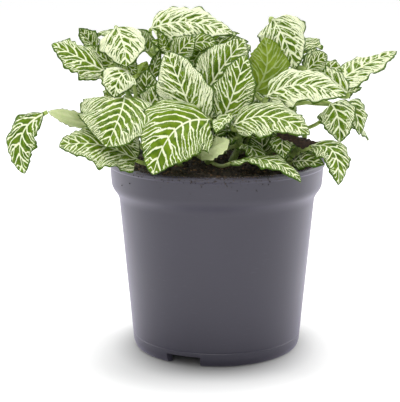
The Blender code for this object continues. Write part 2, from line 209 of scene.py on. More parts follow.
MM = 0.001
RIM_RADIUS = 60.0
POT_HEIGHT = 106.0
BAND_RADIUS = 58.8
BAND_TAPER = 0.6
BAND_BOTTOM = 91.0
NECK_RADIUS = 53.8
NECK_HEIGHT = 83.0
HEEL_RADIUS = 46.8
HEEL_HEIGHT = 3.4
FOOT_RADIUS = 43.6
FOOT_RING = 1.8
FLOOR_HEIGHT = 6.6
WALL = 1.2
POT_SIDES = 180
NOTCH_WIDTH = 18.0
NOTCH_HEIGHT = 5.6
FIRST_NOTCH = -23.5
DRAIN_RADIUS = 3.5
DRAIN_RING = 31.0
FIRST_DRAIN = 25.0
DRAIN_SIDES = 24
MOULD_LINE = 8.0
SHARP_EDGE = 38.0


def build_mesh(name, places, *face_groups):
    """A smooth mesh from places in millimetres and arrays of faces, one array for each number of corners."""
    mesh = bpy.data.meshes.new(name)
    mesh.vertices.add(len(places))
    mesh.vertices.foreach_set("co", (np.asarray(places, float) * MM).ravel())
    corners = np.concatenate([np.asarray(group).ravel() for group in face_groups])
    sizes = np.concatenate([np.full(len(group), np.asarray(group).shape[1]) for group in face_groups])
    mesh.loops.add(len(corners))
    mesh.loops.foreach_set("vertex_index", corners.astype(np.int32))
    mesh.polygons.add(len(sizes))
    mesh.polygons.foreach_set("loop_start", np.concatenate([[0], np.cumsum(sizes)[:-1]]).astype(np.int32))
    mesh.update(calc_edges=True)
    mesh.shade_smooth()
    return mesh


def stand_piece(name, mesh, material, slot, *nodes):
    """An object for the mesh that rides with the plant, wears the material and stands for nodes. The slot is
    not used.
    """
    mesh.materials.clear()
    mesh.materials.append(material)
    piece = bpy.data.objects.new(name, mesh)
    bpy.context.collection.objects.link(piece)
    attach(piece, "root")
    if nodes:
        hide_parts(*nodes)
    return piece


def carry(mesh, name, values):
    """Stores one vector for each vertex under a name that the finish reads."""
    layer = mesh.attributes.new(name, "FLOAT_VECTOR", "POINT")
    layer.data.foreach_set("vector", np.asarray(values, float).ravel())


def rounded(corners):
    """A profile of (radius, height, rounding) corners, each turned into an arc that long on both sides."""
    corners = np.array(corners, float)
    line = [corners[:1, :2]]
    share = np.linspace(0, 1, 6)[:, None]
    for before, corner, after in zip(corners, corners[1:], corners[2:]):
        back = before[:2] - corner[:2]
        on = after[:2] - corner[:2]
        start = corner[:2] + back * min(0.5, corner[2] / np.linalg.norm(back))
        end = corner[:2] + on * min(0.5, corner[2] / np.linalg.norm(on))
        line.append((1 - share) ** 2 * start + 2 * share * (1 - share) * corner[:2] + share**2 * end)
    line.append(corners[-1:, :2])
    return np.concatenate(line)


def ring_faces(rows, sides):
    """Quads between successive rings of points, each ring closed on itself."""
    row, side = np.meshgrid(np.arange(rows - 1), np.arange(sides), indexing="ij")
    here, beside = row * sides + side, row * sides + (side + 1) % sides
    return np.stack([here, beside, beside + sides, here + sides], -1).reshape(-1, 4)


def close_rings(name, rings, poles, flipped):
    """A mesh over rings of points, with a fan to one pole from the first ring and to the other from the last.

    The faces point outwards when each ring runs as a tube's do, and flipped is for rings that run against it.
    """
    rows, sides = rings.shape[:2]
    count = rows * sides
    quads = ring_faces(rows, sides)
    first = np.arange(sides)
    last = first + count - sides
    fans = np.concatenate([
        np.stack([np.full(sides, count), first, np.roll(first, -1)], -1),
        np.stack([np.full(sides, count + 1), last, np.roll(last, -1)], -1)[:, ::-1],
    ])
    places = np.concatenate([rings.reshape(-1, 3), poles])
    if flipped:
        return build_mesh(name, places, quads[:, ::-1], fans)
    return build_mesh(name, places, quads, fans[:, ::-1])


def around(radius, angle, height):
    """Places at a radius, an angle and a height round the pot's axis."""
    return np.stack(np.broadcast_arrays(radius * np.cos(angle), radius * np.sin(angle), height), -1)


def inner_radius(height):
    """The radius of the pot's inside wall at a height."""
    heights = (HEEL_HEIGHT, NECK_HEIGHT, BAND_BOTTOM, POT_HEIGHT)
    radii = (HEEL_RADIUS, NECK_RADIUS, BAND_RADIUS - BAND_TAPER, BAND_RADIUS)
    return float(np.interp(height, heights, radii)) - WALL


def outer_radius(height):
    """The radius of the pot's tapered outside wall below the neck."""
    return float(np.interp(height, (HEEL_HEIGHT, NECK_HEIGHT), (HEEL_RADIUS, NECK_RADIUS)))


def turn_pot():
    """The closed wall's outline turned about Z. At a notch, what is lower is drawn up level with its top."""
    floor_top = FLOOR_HEIGHT + WALL
    ring_inside = FOOT_RADIUS - FOOT_RING
    outline = rounded([
        (0.0, floor_top, 0),
        (inner_radius(floor_top), floor_top, 1.5),
        (inner_radius(NECK_HEIGHT), NECK_HEIGHT, 3.0),
        (inner_radius(BAND_BOTTOM), BAND_BOTTOM, 3.0),
        (inner_radius(POT_HEIGHT) + 0.2, POT_HEIGHT - 0.2, 0.5),
        (RIM_RADIUS - 0.7, POT_HEIGHT, 0.5),
        (RIM_RADIUS, POT_HEIGHT - 0.9, 0.6),
        (RIM_RADIUS - 0.3, POT_HEIGHT - 2.8, 0.5),
        (BAND_RADIUS + 0.1, POT_HEIGHT - 3.4, 0.5),
        (BAND_RADIUS - BAND_TAPER, BAND_BOTTOM + 0.5, 2.5),
        (NECK_RADIUS + 0.5, NECK_HEIGHT + 3.2, 3.0),
        (NECK_RADIUS, NECK_HEIGHT - 1.5, 1.5),
        (outer_radius(MOULD_LINE + 0.4), MOULD_LINE + 0.4, 0.3),
        (outer_radius(MOULD_LINE) - 0.25, MOULD_LINE, 0.15),
        (outer_radius(MOULD_LINE - 0.4), MOULD_LINE - 0.4, 0.3),
        (outer_radius(NOTCH_HEIGHT), NOTCH_HEIGHT, 0.5),
        (HEEL_RADIUS, HEEL_HEIGHT, 2.4),
        (HEEL_RADIUS - 1.2, 0.6, 1.4),
        (FOOT_RADIUS, 0.0, 0.6),
        (ring_inside, 0.0, 0.4),
        (ring_inside + 0.5, NOTCH_HEIGHT, 0.4),
        (ring_inside + 0.6, FLOOR_HEIGHT, 0.4),
        (0.0, FLOOR_HEIGHT, 0),
    ])
    walls = outline[1:-1]
    cut = np.flatnonzero(walls[:, 1] < NOTCH_HEIGHT)
    notched = walls.copy()
    share = np.linspace(0, 1, len(cut))
    notched[cut, 0] = outer_radius(NOTCH_HEIGHT) + (ring_inside + 0.5 - outer_radius(NOTCH_HEIGHT)) * share
    notched[cut, 1] = NOTCH_HEIGHT
    half = math.degrees(math.asin(NOTCH_WIDTH / 2 / FOOT_RADIUS))
    middles = np.array([FIRST_NOTCH - 90 + 120 * k for k in range(3)])
    edges = [middles + side * (half + nudge) for side in (-1, 1) for nudge in (-0.05, 0.05)]
    turns = np.unique(np.concatenate([np.arange(POT_SIDES) * 360 / POT_SIDES, np.concatenate(edges) % 360]))
    apart = np.abs((turns[:, None] - middles[None, :] + 180) % 360 - 180).min(axis=1)
    inside = apart < half
    shape = np.where(inside[None, :, None], notched[:, None], walls[:, None])
    rings = around(shape[..., 0], np.radians(turns), shape[..., 1])
    return close_rings("pot", rings, [[0, 0, floor_top], [0, 0, FLOOR_HEIGHT]], True)


def drill_drains(mesh):
    """Six round holes through the floor, cut out one after the other."""
    blank = bpy.data.objects.new("blank", mesh)
    bpy.context.collection.objects.link(blank)
    drills = []
    for k in range(6):
        middle = math.radians(FIRST_DRAIN + 60 * k)
        angle = np.linspace(0, 2 * np.pi, DRAIN_SIDES, endpoint=False)
        x = DRAIN_RING * math.cos(middle) + DRAIN_RADIUS * np.cos(angle)
        y = DRAIN_RING * math.sin(middle) + DRAIN_RADIUS * np.sin(angle)
        low = np.stack([x, y, np.full(DRAIN_SIDES, FLOOR_HEIGHT - 1)], -1)
        ends = np.array([np.arange(DRAIN_SIDES)[::-1], np.arange(DRAIN_SIDES, 2 * DRAIN_SIDES)])
        places = np.concatenate([low, low + (0, 0, WALL + 2)])
        drill_mesh = build_mesh(f"drill_{k}", places, ring_faces(2, DRAIN_SIDES), ends)
        drill = bpy.data.objects.new(f"drill_{k}", drill_mesh)
        bpy.context.collection.objects.link(drill)
        drills.append(drill)
        hole = blank.modifiers.new(f"drain_{k}", "BOOLEAN")
        hole.operation = "DIFFERENCE"
        hole.solver = "EXACT"
        hole.object = drill
    drilled = bpy.data.meshes.new_from_object(blank.evaluated_get(bpy.context.evaluated_depsgraph_get()))
    for used in drills + [blank]:
        bpy.data.objects.remove(used)
    drilled.name = "pot"
    return drilled



def blend(share, first, second):
    """A colour that runs from the first to the second as the share goes from 0 to 1."""
    return add_node(share.tree, "ShaderNodeMix", {0: share, 6: first, 7: second}, 2, data_type="RGBA")


def grain(where, scale, detail=2.0, roughness=0.5):
    """Noise from 0 to 1 at a scale in lumps for each metre."""
    inputs = {"Vector": where, "Scale": scale, "Detail": detail, "Roughness": roughness}
    return add_node(where.tree, "ShaderNodeTexNoise", inputs, "Fac")


def drawn_out(where, scale):
    """Coordinates scaled along each axis, so that a grain on them runs long where the scale is small."""
    return add_node(where.tree, "ShaderNodeMapping", {"Vector": where, "Scale": scale})


def raised(height, strength, metres):
    """The surface's direction with bumps on it as high as the number of metres."""
    inputs = {"Strength": strength, "Distance": metres, "Height": height}
    return add_node(height.tree, "ShaderNodeBump", inputs)


def satin_plastic():
    """Violet-grey moulded plastic: faint clouding, fine scuffs round the pot, soil dust near the rim."""
    material, shader, where = new_finish("satin_plastic")
    cloud = grain(where, 28, 3)
    scuff = ease(grain(drawn_out(where, (1, 1, 9)), 160, 4, 0.65), 0.60, 0.78)
    near_rim = ease(split(where)[2], 0.098, 0.1062, 0.0, 0.16)
    dust = ease(grain(where, 1300, 4, 0.75) + near_rim, 0.76, 0.79)
    plastic = blend(cloud, (0.028, 0.026, 0.040, 1), (0.039, 0.036, 0.054, 1))
    plastic = blend(scuff * 0.25, plastic, (0.11, 0.105, 0.13, 1))
    feed(shader, {
        "Base Color": blend(dust * 0.8, plastic, (0.035, 0.025, 0.018, 1)),
        "Roughness": ease(cloud, 0.3, 0.7, 0.36, 0.44) + scuff * 0.10 + dust * 0.3,
        "Sheen Weight": 0.38,
        "Sheen Roughness": 0.4,
        "Sheen Tint": (0.72, 0.66, 0.95, 1.0),
        "Normal": raised(grain(where, 1500, 2) + scuff * 0.4, 0.12, 0.0002),
    })
    return material


pot_mesh = drill_drains(turn_pot())
pot_mesh.set_sharp_from_angle(angle=math.radians(SHARP_EDGE))
stand_piece("nursery_pot", pot_mesh, satin_plastic(), "pot_plastic", "pot")

# ---------------------------------------------------------------------------------------------------------
# Soil. Dark damp peat, firmed into the pot to just under its rim, lumpy on top, with loose crumbs of
# peat and slivers of brown husk lying on it. A little of it was spilt over the front of the lip.

SOIL_EDGE_HEIGHT = 102.0
SOIL_CROWN = 2.6
SOIL_LUMP = 0.5
SOIL_SLACK = 0.45
SOIL_SIDES = 240
SOIL_RINGS = 80
CLOD_WAVES = 60
CLOD_HEIGHT = 0.16
CLOD_LIMIT = 1.2
CRUMBS = 3200
HUSKS = 110
SPILT_GRAINS = 1500
SPILL_MIDDLE = -93.0
SPILL_SPREAD = 24.0
SPILL_DROP = 1.5
LIP_EDGE = (57.9, 59.6)
LIP_DEPTH = 3.2
soil_dice = np.random.default_rng(11)


def soil_height(x, y):
    """The soil's top: a low crown with rounded lumps."""
    share = 1 - (x**2 + y**2) / (BAND_RADIUS**2)
    lumps = np.sin(0.21 * x + 0.6) * np.cos(0.17 * y) + np.sin(0.13 * (x - y))
    return SOIL_EDGE_HEIGHT + SOIL_CROWN * share + SOIL_LUMP * lumps * share


SOIL_TURN = soil_dice.uniform(0, 2 * np.pi, CLOD_WAVES)
SOIL_SHIFT = soil_dice.uniform(0, 2 * np.pi, CLOD_WAVES)
SOIL_WAVE = np.geomspace(0.35, 3.2, CLOD_WAVES)


def soil_top(x, y):
    """The crown with clods on it: the sum of waves in chance directions, of which the longer are higher."""
    clods = sum(
        CLOD_HEIGHT / wave**0.85 * np.sin(wave * (x * math.cos(turn) + y * math.sin(turn)) + shift)
        for wave, turn, shift in zip(SOIL_WAVE, SOIL_TURN, SOIL_SHIFT)
    )
    return soil_height(x, y) + np.clip(clods, -CLOD_LIMIT, CLOD_LIMIT) * 0.9


def fill_soil():
    """A grid of rings and spokes lifted to the soil's top, carried down the pot's inside and closed below."""
    angle = np.linspace(0, 2 * np.pi, SOIL_SIDES, endpoint=False)
    edge = inner_radius(SOIL_EDGE_HEIGHT) - SOIL_SLACK
    radius = np.linspace(0, edge, SOIL_RINGS + 1)[1:, None]
    x, y = radius * np.cos(angle), radius * np.sin(angle)
    top = np.stack([x, y, soil_top(x, y)], -1)
    floor_top = FLOOR_HEIGHT + WALL
    down_wall = np.array([
        (edge, SOIL_EDGE_HEIGHT - 2.5),
        (inner_radius(BAND_BOTTOM) - SOIL_SLACK, BAND_BOTTOM),
        (inner_radius(NECK_HEIGHT) - SOIL_SLACK, NECK_HEIGHT),
        (inner_radius(floor_top) - SOIL_SLACK - 1.0, floor_top + 0.3),
    ])
    rings = np.concatenate([top, around(down_wall[:, :1], angle, down_wall[:, 1:])])
    return close_rings("soil", rings, [[0, 0, float(soil_top(0.0, 0.0))], [0, 0, floor_top + 0.3]], True)


def twenty_faces():
    """The twelve corners and twenty faces of an icosahedron: the corners are (0, 1, golden) in every turn."""
    golden = (1 + 5**0.5) / 2
    signs = [(a, b) for a in (-1, 1) for b in (-1, 1)]
    corners = np.array([np.roll((0, a, b * golden), turn) for a, b in signs for turn in range(3)], float)
    near = np.abs(np.linalg.norm(corners[:, None] - corners[None], axis=-1) - 2.0) < 0.01
    faces = [
        (i, j, k) if np.linalg.det(corners[[i, j, k]]) > 0 else (i, k, j)
        for i in range(12)
        for j in range(i + 1, 12)
        for k in range(j + 1, 12)
        if near[i, j] and near[j, k] and near[i, k]
    ]
    return corners / np.linalg.norm(corners[0]), np.array(faces)


def strew(name, ground, size, flatness, length):
    """Rough lumps, each set down at its own place: the twenty-faced shape, dented, stretched and turned."""
    corners, faces = twenty_faces()
    count = len(size)
    dents = soil_dice.uniform(0.65, 1.15, (count, 12, 1))
    shape = corners[None] * dents * np.array((length, 1.0, flatness))
    turn = soil_dice.uniform(0, 2 * np.pi, count)[:, None]
    tip = soil_dice.normal(0, 0.35, count)[:, None]
    x = shape[..., 0] * np.cos(tip) - shape[..., 2] * np.sin(tip)
    z = shape[..., 0] * np.sin(tip) + shape[..., 2] * np.cos(tip)
    y = shape[..., 1]
    spun = np.stack([x * np.cos(turn) - y * np.sin(turn), x * np.sin(turn) + y * np.cos(turn), z], -1)
    places = spun * size[:, None, None] + ground[:, None]
    lots = (faces[None] + 12 * np.arange(count)[:, None, None]).reshape(-1, 3)
    mesh = build_mesh(name, places.reshape(-1, 3), lots)
    carry(mesh, "crumb_shade", np.repeat(soil_dice.uniform(0, 1, (count, 3)), 12, axis=0))
    return mesh


def chance_sizes(count, smallest, largest):
    """Radii of which most are near the smallest."""
    return soil_dice.uniform(0, 1, count) ** 3 * (largest - smallest) + smallest


def scatter(name, count, sizes, flatness, length, sink):
    """Lumps all over the soil, each lifted by the sink's share of its size."""
    radius = (inner_radius(SOIL_EDGE_HEIGHT) - 2.2) * np.sqrt(soil_dice.uniform(0, 1, count))
    angle = soil_dice.uniform(0, 2 * np.pi, count)
    x, y = radius * np.cos(angle), radius * np.sin(angle)
    size = chance_sizes(count, *sizes)
    return strew(name, np.stack([x, y, soil_top(x, y) + size * sink], -1), size, flatness, length)


def spill(name, count, sizes):
    """Grains that lie on the lip at the front or cling to the band below it, fewer the lower they are."""
    angle = np.radians(soil_dice.normal(SPILL_MIDDLE, SPILL_SPREAD, count))
    size = chance_sizes(count, *sizes)
    drop = soil_dice.exponential(SPILL_DROP, count) * soil_dice.integers(0, 2, count)
    below_lip = np.where(drop > LIP_DEPTH, BAND_RADIUS, RIM_RADIUS - 0.25)
    radius = np.where(drop > 0.6, below_lip, soil_dice.uniform(*LIP_EDGE, count))
    height = POT_HEIGHT - drop + np.where(drop > 0.6, 0, 0.3 * size)
    return strew(name, around(radius, angle, height), size, 0.8, 1.1)


def damp_peat():
    """Near-black peat with brown fibres, damp in the hollows and crumbly everywhere."""
    material, shader, where = new_finish("damp_peat")
    crumb = grain(where, 700, 6, 0.7)
    patch = grain(where, 90, 3)
    peat = blend(ease(crumb, 0.42, 0.66), (0.018, 0.014, 0.011, 1), (0.105, 0.076, 0.056, 1))
    peat = blend(ease(grain(where, 1600, 2, 0.6), 0.64, 0.74), peat, (0.17, 0.11, 0.07, 1))
    feed(shader, {
        "Base Color": blend(ease(patch, 0.55, 0.75, 0.0, 0.5), peat, (0.012, 0.009, 0.008, 1)),
        "Roughness": ease(patch, 0.35, 0.65, 0.95, 0.6),
        "Normal": raised(crumb, 0.9, 0.0012),
    })
    return material


def carried(where, name):
    """The vector that carry stored for each point of the mesh under the name."""
    return add_node(where.tree, "ShaderNodeAttribute", {}, "Vector", attribute_name=name)


def loose_crumb(name, dark, light):
    """Crumbs of one colour family, each with its own share of light and dark, and a gritty skin."""
    material, shader, where = new_finish(name)
    own = split(carried(where, "crumb_shade"))[0]
    grit = grain(where, 2200, 3, 0.7)
    share = reckon("POWER", own, 2.0) * ease(grit, 0.3, 0.7, 0.5, 1.0)
    feed(shader, {
        "Base Color": blend(share, dark, light),
        "Roughness": 0.88,
        "Normal": raised(grit, 0.6, 0.0004),
    })
    return material


peat_crumb = loose_crumb("peat_crumb", (0.022, 0.015, 0.011, 1), (0.40, 0.24, 0.13, 1))
brown_husk = loose_crumb("brown_husk", (0.08, 0.04, 0.016, 1), (0.46, 0.23, 0.08, 1))
spilt_peat = loose_crumb("spilt_peat", (0.010, 0.008, 0.007, 1), (0.09, 0.06, 0.04, 1))
soil_mesh = fill_soil()
stand_piece("peat", soil_mesh, damp_peat(), "soil", "soil")
crumb_mesh = scatter("peat_crumbs", CRUMBS, (0.18, 0.95), 0.8, 1.1, 0.35)
stand_piece("peat_crumbs", crumb_mesh, peat_crumb, "soil")
husk_mesh = scatter("husk_slivers", HUSKS, (0.25, 0.6), 0.35, 2.8, 0.5)
stand_piece("husk_slivers", husk_mesh, brown_husk, "soil")
spilt_mesh = spill("spilt_grains", SPILT_GRAINS, (0.10, 0.55))
stand_piece("spilt_grains", spilt_mesh, spilt_peat, "soil")

# ---------------------------------------------------------------------------------------------------------
# Shoots. Soft green stems, downy all over, that leave the soil upright and end where the top leaves
# fork. Each has a slightly swollen joint wherever a leaf stalk starts.

SHOOT_SEAT = 0.6
SHOOT_RADIUS = 2.0
SHOOT_TIP_RADIUS = 1.3
SHOOT_ROWS = 90
SHOOT_SIDES = 24
JOINT_SWELLING = 0.28
JOINT_LENGTH = 0.022
DOME_HEIGHT = 1.2
HAIRS = 420
HAIR_RADIUS = 0.055
# Each shoot: where it leaves the soil (x, y), a middle point and its top.
SHOOTS = {
    "left": ((-20, -16), (-40, -16, 128), (-54, -10, 160)),
    "front": ((-4, -16), (-6, -20, 116), (-5, -22, 134)),
    "centre": ((8, -8), (12, -12, 118), (8, -16, 131)),
    "right": ((20, -2), (23, -6, 122), (26, -9, 139)),
    "right_back": ((28, 12), (42, 12, 130), (44, 10, 160)),
    "left_back": ((-14, 10), (-26, 12, 135), (-34, 8, 168)),
    "back": ((4, 24), (4, 32, 125), (6, 34, 156)),
    "low_right": ((34, -12), (42, -16, 112), (47, -19, 121)),
}
shoot_dice = np.random.default_rng(23)


def direction(vector):
    """The vector scaled to length 1."""
    vector = np.asarray(vector, float)
    return vector / np.linalg.norm(vector, axis=-1, keepdims=True)


def bezier(points, steps):
    """Places and unit tangents along a Bezier curve at the given steps from 0 to 1."""
    points = np.asarray(points, float)
    order = len(points) - 1
    t = np.asarray(steps, float)[:, None]
    places = sum(math.comb(order, k) * (1 - t) ** (order - k) * t**k * p for k, p in enumerate(points))
    slopes = sum(
        math.comb(order - 1, k) * (1 - t) ** (order - 1 - k) * t**k * span
        for k, span in enumerate(np.diff(points, axis=0))
    )
    return places, direction(slopes)


def through_middle(start, middle, end):
    """The three Bezier points of the arc that passes through the middle point halfway along."""
    start, middle, end = (np.asarray(p, float) for p in (start, middle, end))
    return start, 2 * middle - (start + end) / 2, end


def shoot_path(name):
    """The Bezier points of a shoot, from just above the soil to its top."""
    (x, y), middle, top = SHOOTS[name]
    return through_middle((x, y, soil_height(x, y) + SHOOT_SEAT), middle, top)


def shoot_radius(share):
    """A stem's radius, which thins evenly from its foot to its top."""
    return SHOOT_RADIUS + (SHOOT_TIP_RADIUS - SHOOT_RADIUS) * share


def square_frames(tangents, side):
    """Two unit vectors square to each tangent, with the side carried along the path without twisting."""
    sides = np.empty_like(tangents)
    for k, tangent in enumerate(tangents):
        side = direction(side - tangent * side.dot(tangent))
        sides[k] = side
    return sides, np.cross(sides, tangents)


def ring_turns(sides):
    """The angles of a ring's points, over the top from one side to the other and back underneath."""
    return np.pi - 2 * np.pi * np.arange(sides) / sides


def spokes(sides, side, up):
    """Unit spokes round each point of a path: the angle's cosine along the side and its sine along the up."""
    turn = ring_turns(sides)
    return np.cos(turn)[None, :, None] * side[:, None] + np.sin(turn)[None, :, None] * up[:, None]


def tube(places, tangents, radii, side, sides):
    """Rings of points round a path: each place plus its radius times the spokes."""
    side, up = square_frames(tangents, np.asarray(side, float))
    return places[:, None] + np.asarray(radii)[..., None, None] * spokes(sides, side, up)


def closed_tube(name, rings):
    """A mesh over rings of points, closed at the middle of its first ring and of its last."""
    return close_rings(name, rings, rings[[0, -1]].mean(axis=1), False)


def grow_shoot(name, joints):
    """A round stem along the shoot's path, swollen a little at each joint, with a domed top."""
    steps = np.linspace(0, 1, SHOOT_ROWS)
    places, tangents = bezier(shoot_path(name), steps)
    tangents[0] = (0, 0, 1)
    swelling = sum(JOINT_SWELLING * np.exp(-((steps - joint) / JOINT_LENGTH) ** 2) for joint in joints)
    radii = shoot_radius(steps) + np.minimum(swelling, 0.35) - 0.05
    dome = np.sin(np.linspace(0, np.pi / 2, 6))[1:]
    cap = places[-1] + tangents[-1] * DOME_HEIGHT * dome[:, None]
    places = np.concatenate([places, cap])
    radii = np.concatenate([radii, radii[-1] * np.sqrt(1 - 0.96 * dome**2)])
    tangents = np.concatenate([tangents, np.repeat(tangents[-1:], 5, axis=0)])
    side = np.cross(tangents[0], (0, 1, 0))
    return closed_tube(name, tube(places, tangents, radii, side, SHOOT_SIDES))


def grow_down(name, count):
    """Fine hairs all round the stems: thin three-sided spikes that stand out and lean towards the tip."""
    roots, aims = [], []
    for shoot in SHOOTS:
        steps = shoot_dice.uniform(0.02, 0.99, count)
        places, tangents = bezier(shoot_path(shoot), steps)
        any_way = direction(shoot_dice.normal(0, 1, (count, 3)))
        out = direction(any_way - tangents * np.sum(any_way * tangents, axis=1)[:, None])
        roots.append(places + out * (shoot_radius(steps) - 0.1)[:, None])
        aims.append(direction(out + 0.35 * tangents))
    root, aim = np.concatenate(roots), np.concatenate(aims)
    length = shoot_dice.uniform(0.5, 1.1, len(root))[:, None]
    side = direction(np.cross(aim, (0.31, 0.52, 0.79)))
    third = np.cross(aim, side)
    base = [root + HAIR_RADIUS * (math.cos(a) * side + math.sin(a) * third) for a in (0, 2.094, 4.189)]
    places = np.stack(base + [root + aim * length], 1).reshape(-1, 3)
    spike = np.array([(0, 1, 3), (1, 2, 3), (2, 0, 3), (2, 1, 0)])
    faces = (spike[None] + 4 * np.arange(len(root))[:, None, None]).reshape(-1, 3)
    return build_mesh(name, places, faces)


def downy_stem():
    """Pale green stem flecked with darker green along its length, soft and slightly translucent."""
    material, shader, where = new_finish("downy_stem")
    streak = grain(drawn_out(where, (1, 1, 0.18)), 900, 3, 0.6)
    green = blend(ease(streak, 0.35, 0.68), (0.16, 0.25, 0.045, 1), (0.34, 0.44, 0.13, 1))
    brown = ease(grain(where, 140, 2), 0.60, 0.80, 0.0, 0.45)
    feed(shader, {
        "Base Color": blend(brown, green, (0.17, 0.15, 0.07, 1)),
        "Roughness": 0.55,
        "Subsurface Weight": 0.15,
        "Subsurface Radius": (0.6, 1.0, 0.2),
        "Subsurface Scale": 0.001,
        "Normal": raised(streak, 0.5, 0.0003),
    })
    return material


def pale_down():
    """Whitish hairs, some a little greener."""
    material, shader, where = new_finish("pale_down")
    tint = blend(grain(where, 200), (0.52, 0.55, 0.40, 1), (0.70, 0.72, 0.60, 1))
    feed(shader, {"Base Color": tint, "Roughness": 0.6})
    return material


# ---------------------------------------------------------------------------------------------------------
# Leaves. Each is a short stalk that spreads into a ruffled blade. The upper side is green with a net of
# cream veins, quilted between them and finely toothed at the margin; the underside is a paler lime.

STALK_RADIUS = 1.1
STALK_WAIST = 0.08
STALK_BEND = 0.35
STALK_ROWS = (10, 40)
TOUCH_GAP = 0.3
HANG_GAP = 0.5
BLADE_THICKNESS = 0.55
WIDEST_AT = 0.36
BASE_ROUNDNESS = 0.42
LEAF_TWIST = 10.0
# How high the long ruffles and the short flutter of a margin swing, and how many ruffles it has.
RUFFLE = 1.9
FLUTTER = 0.85
WAVES = 2.5
# How high the blade bulges between two side veins and sinks along the midrib, and its edge's lobes and teeth.
QUILT = 0.42
GROOVE = 0.35
GROOVE_WIDTH = 1.1
LOBE = 0.6
TOOTH = 0.10
TOOTH_GAP = 1.9
# Side veins: how much they lean and bend towards the tip, and the space between them.
VEIN_SLANT = 1.2
VEIN_BEND = 0.012
SIDE_VEIN_GAP = 5.6
VEIN_PAIRS = (4, 8)
# The blade's grid, and the share of its length in which the round stalk flattens into it.
ROW_LENGTH = 0.5
COLUMN_WIDTH = 1.05
BLADE_ROWS = (36, 110)
HALF_COLUMNS = (8, 24)
WING_STEPS = 40
SETTLES_WITHIN = 0.05
GOLDEN_TURN = 0.618
YOUNG_LENGTH = 22.0
YOUNG_REACH = 54.0
YOUNG_JOINTS = (0.16, 0.30, 0.44, 0.58, 0.72, 0.86)
YOUNG_TURNS = (40, 65, 15, 90, -10)
DEAD_WIDTH = 2.4
DEAD_ROWS = 70
DEAD_SIDES = 28
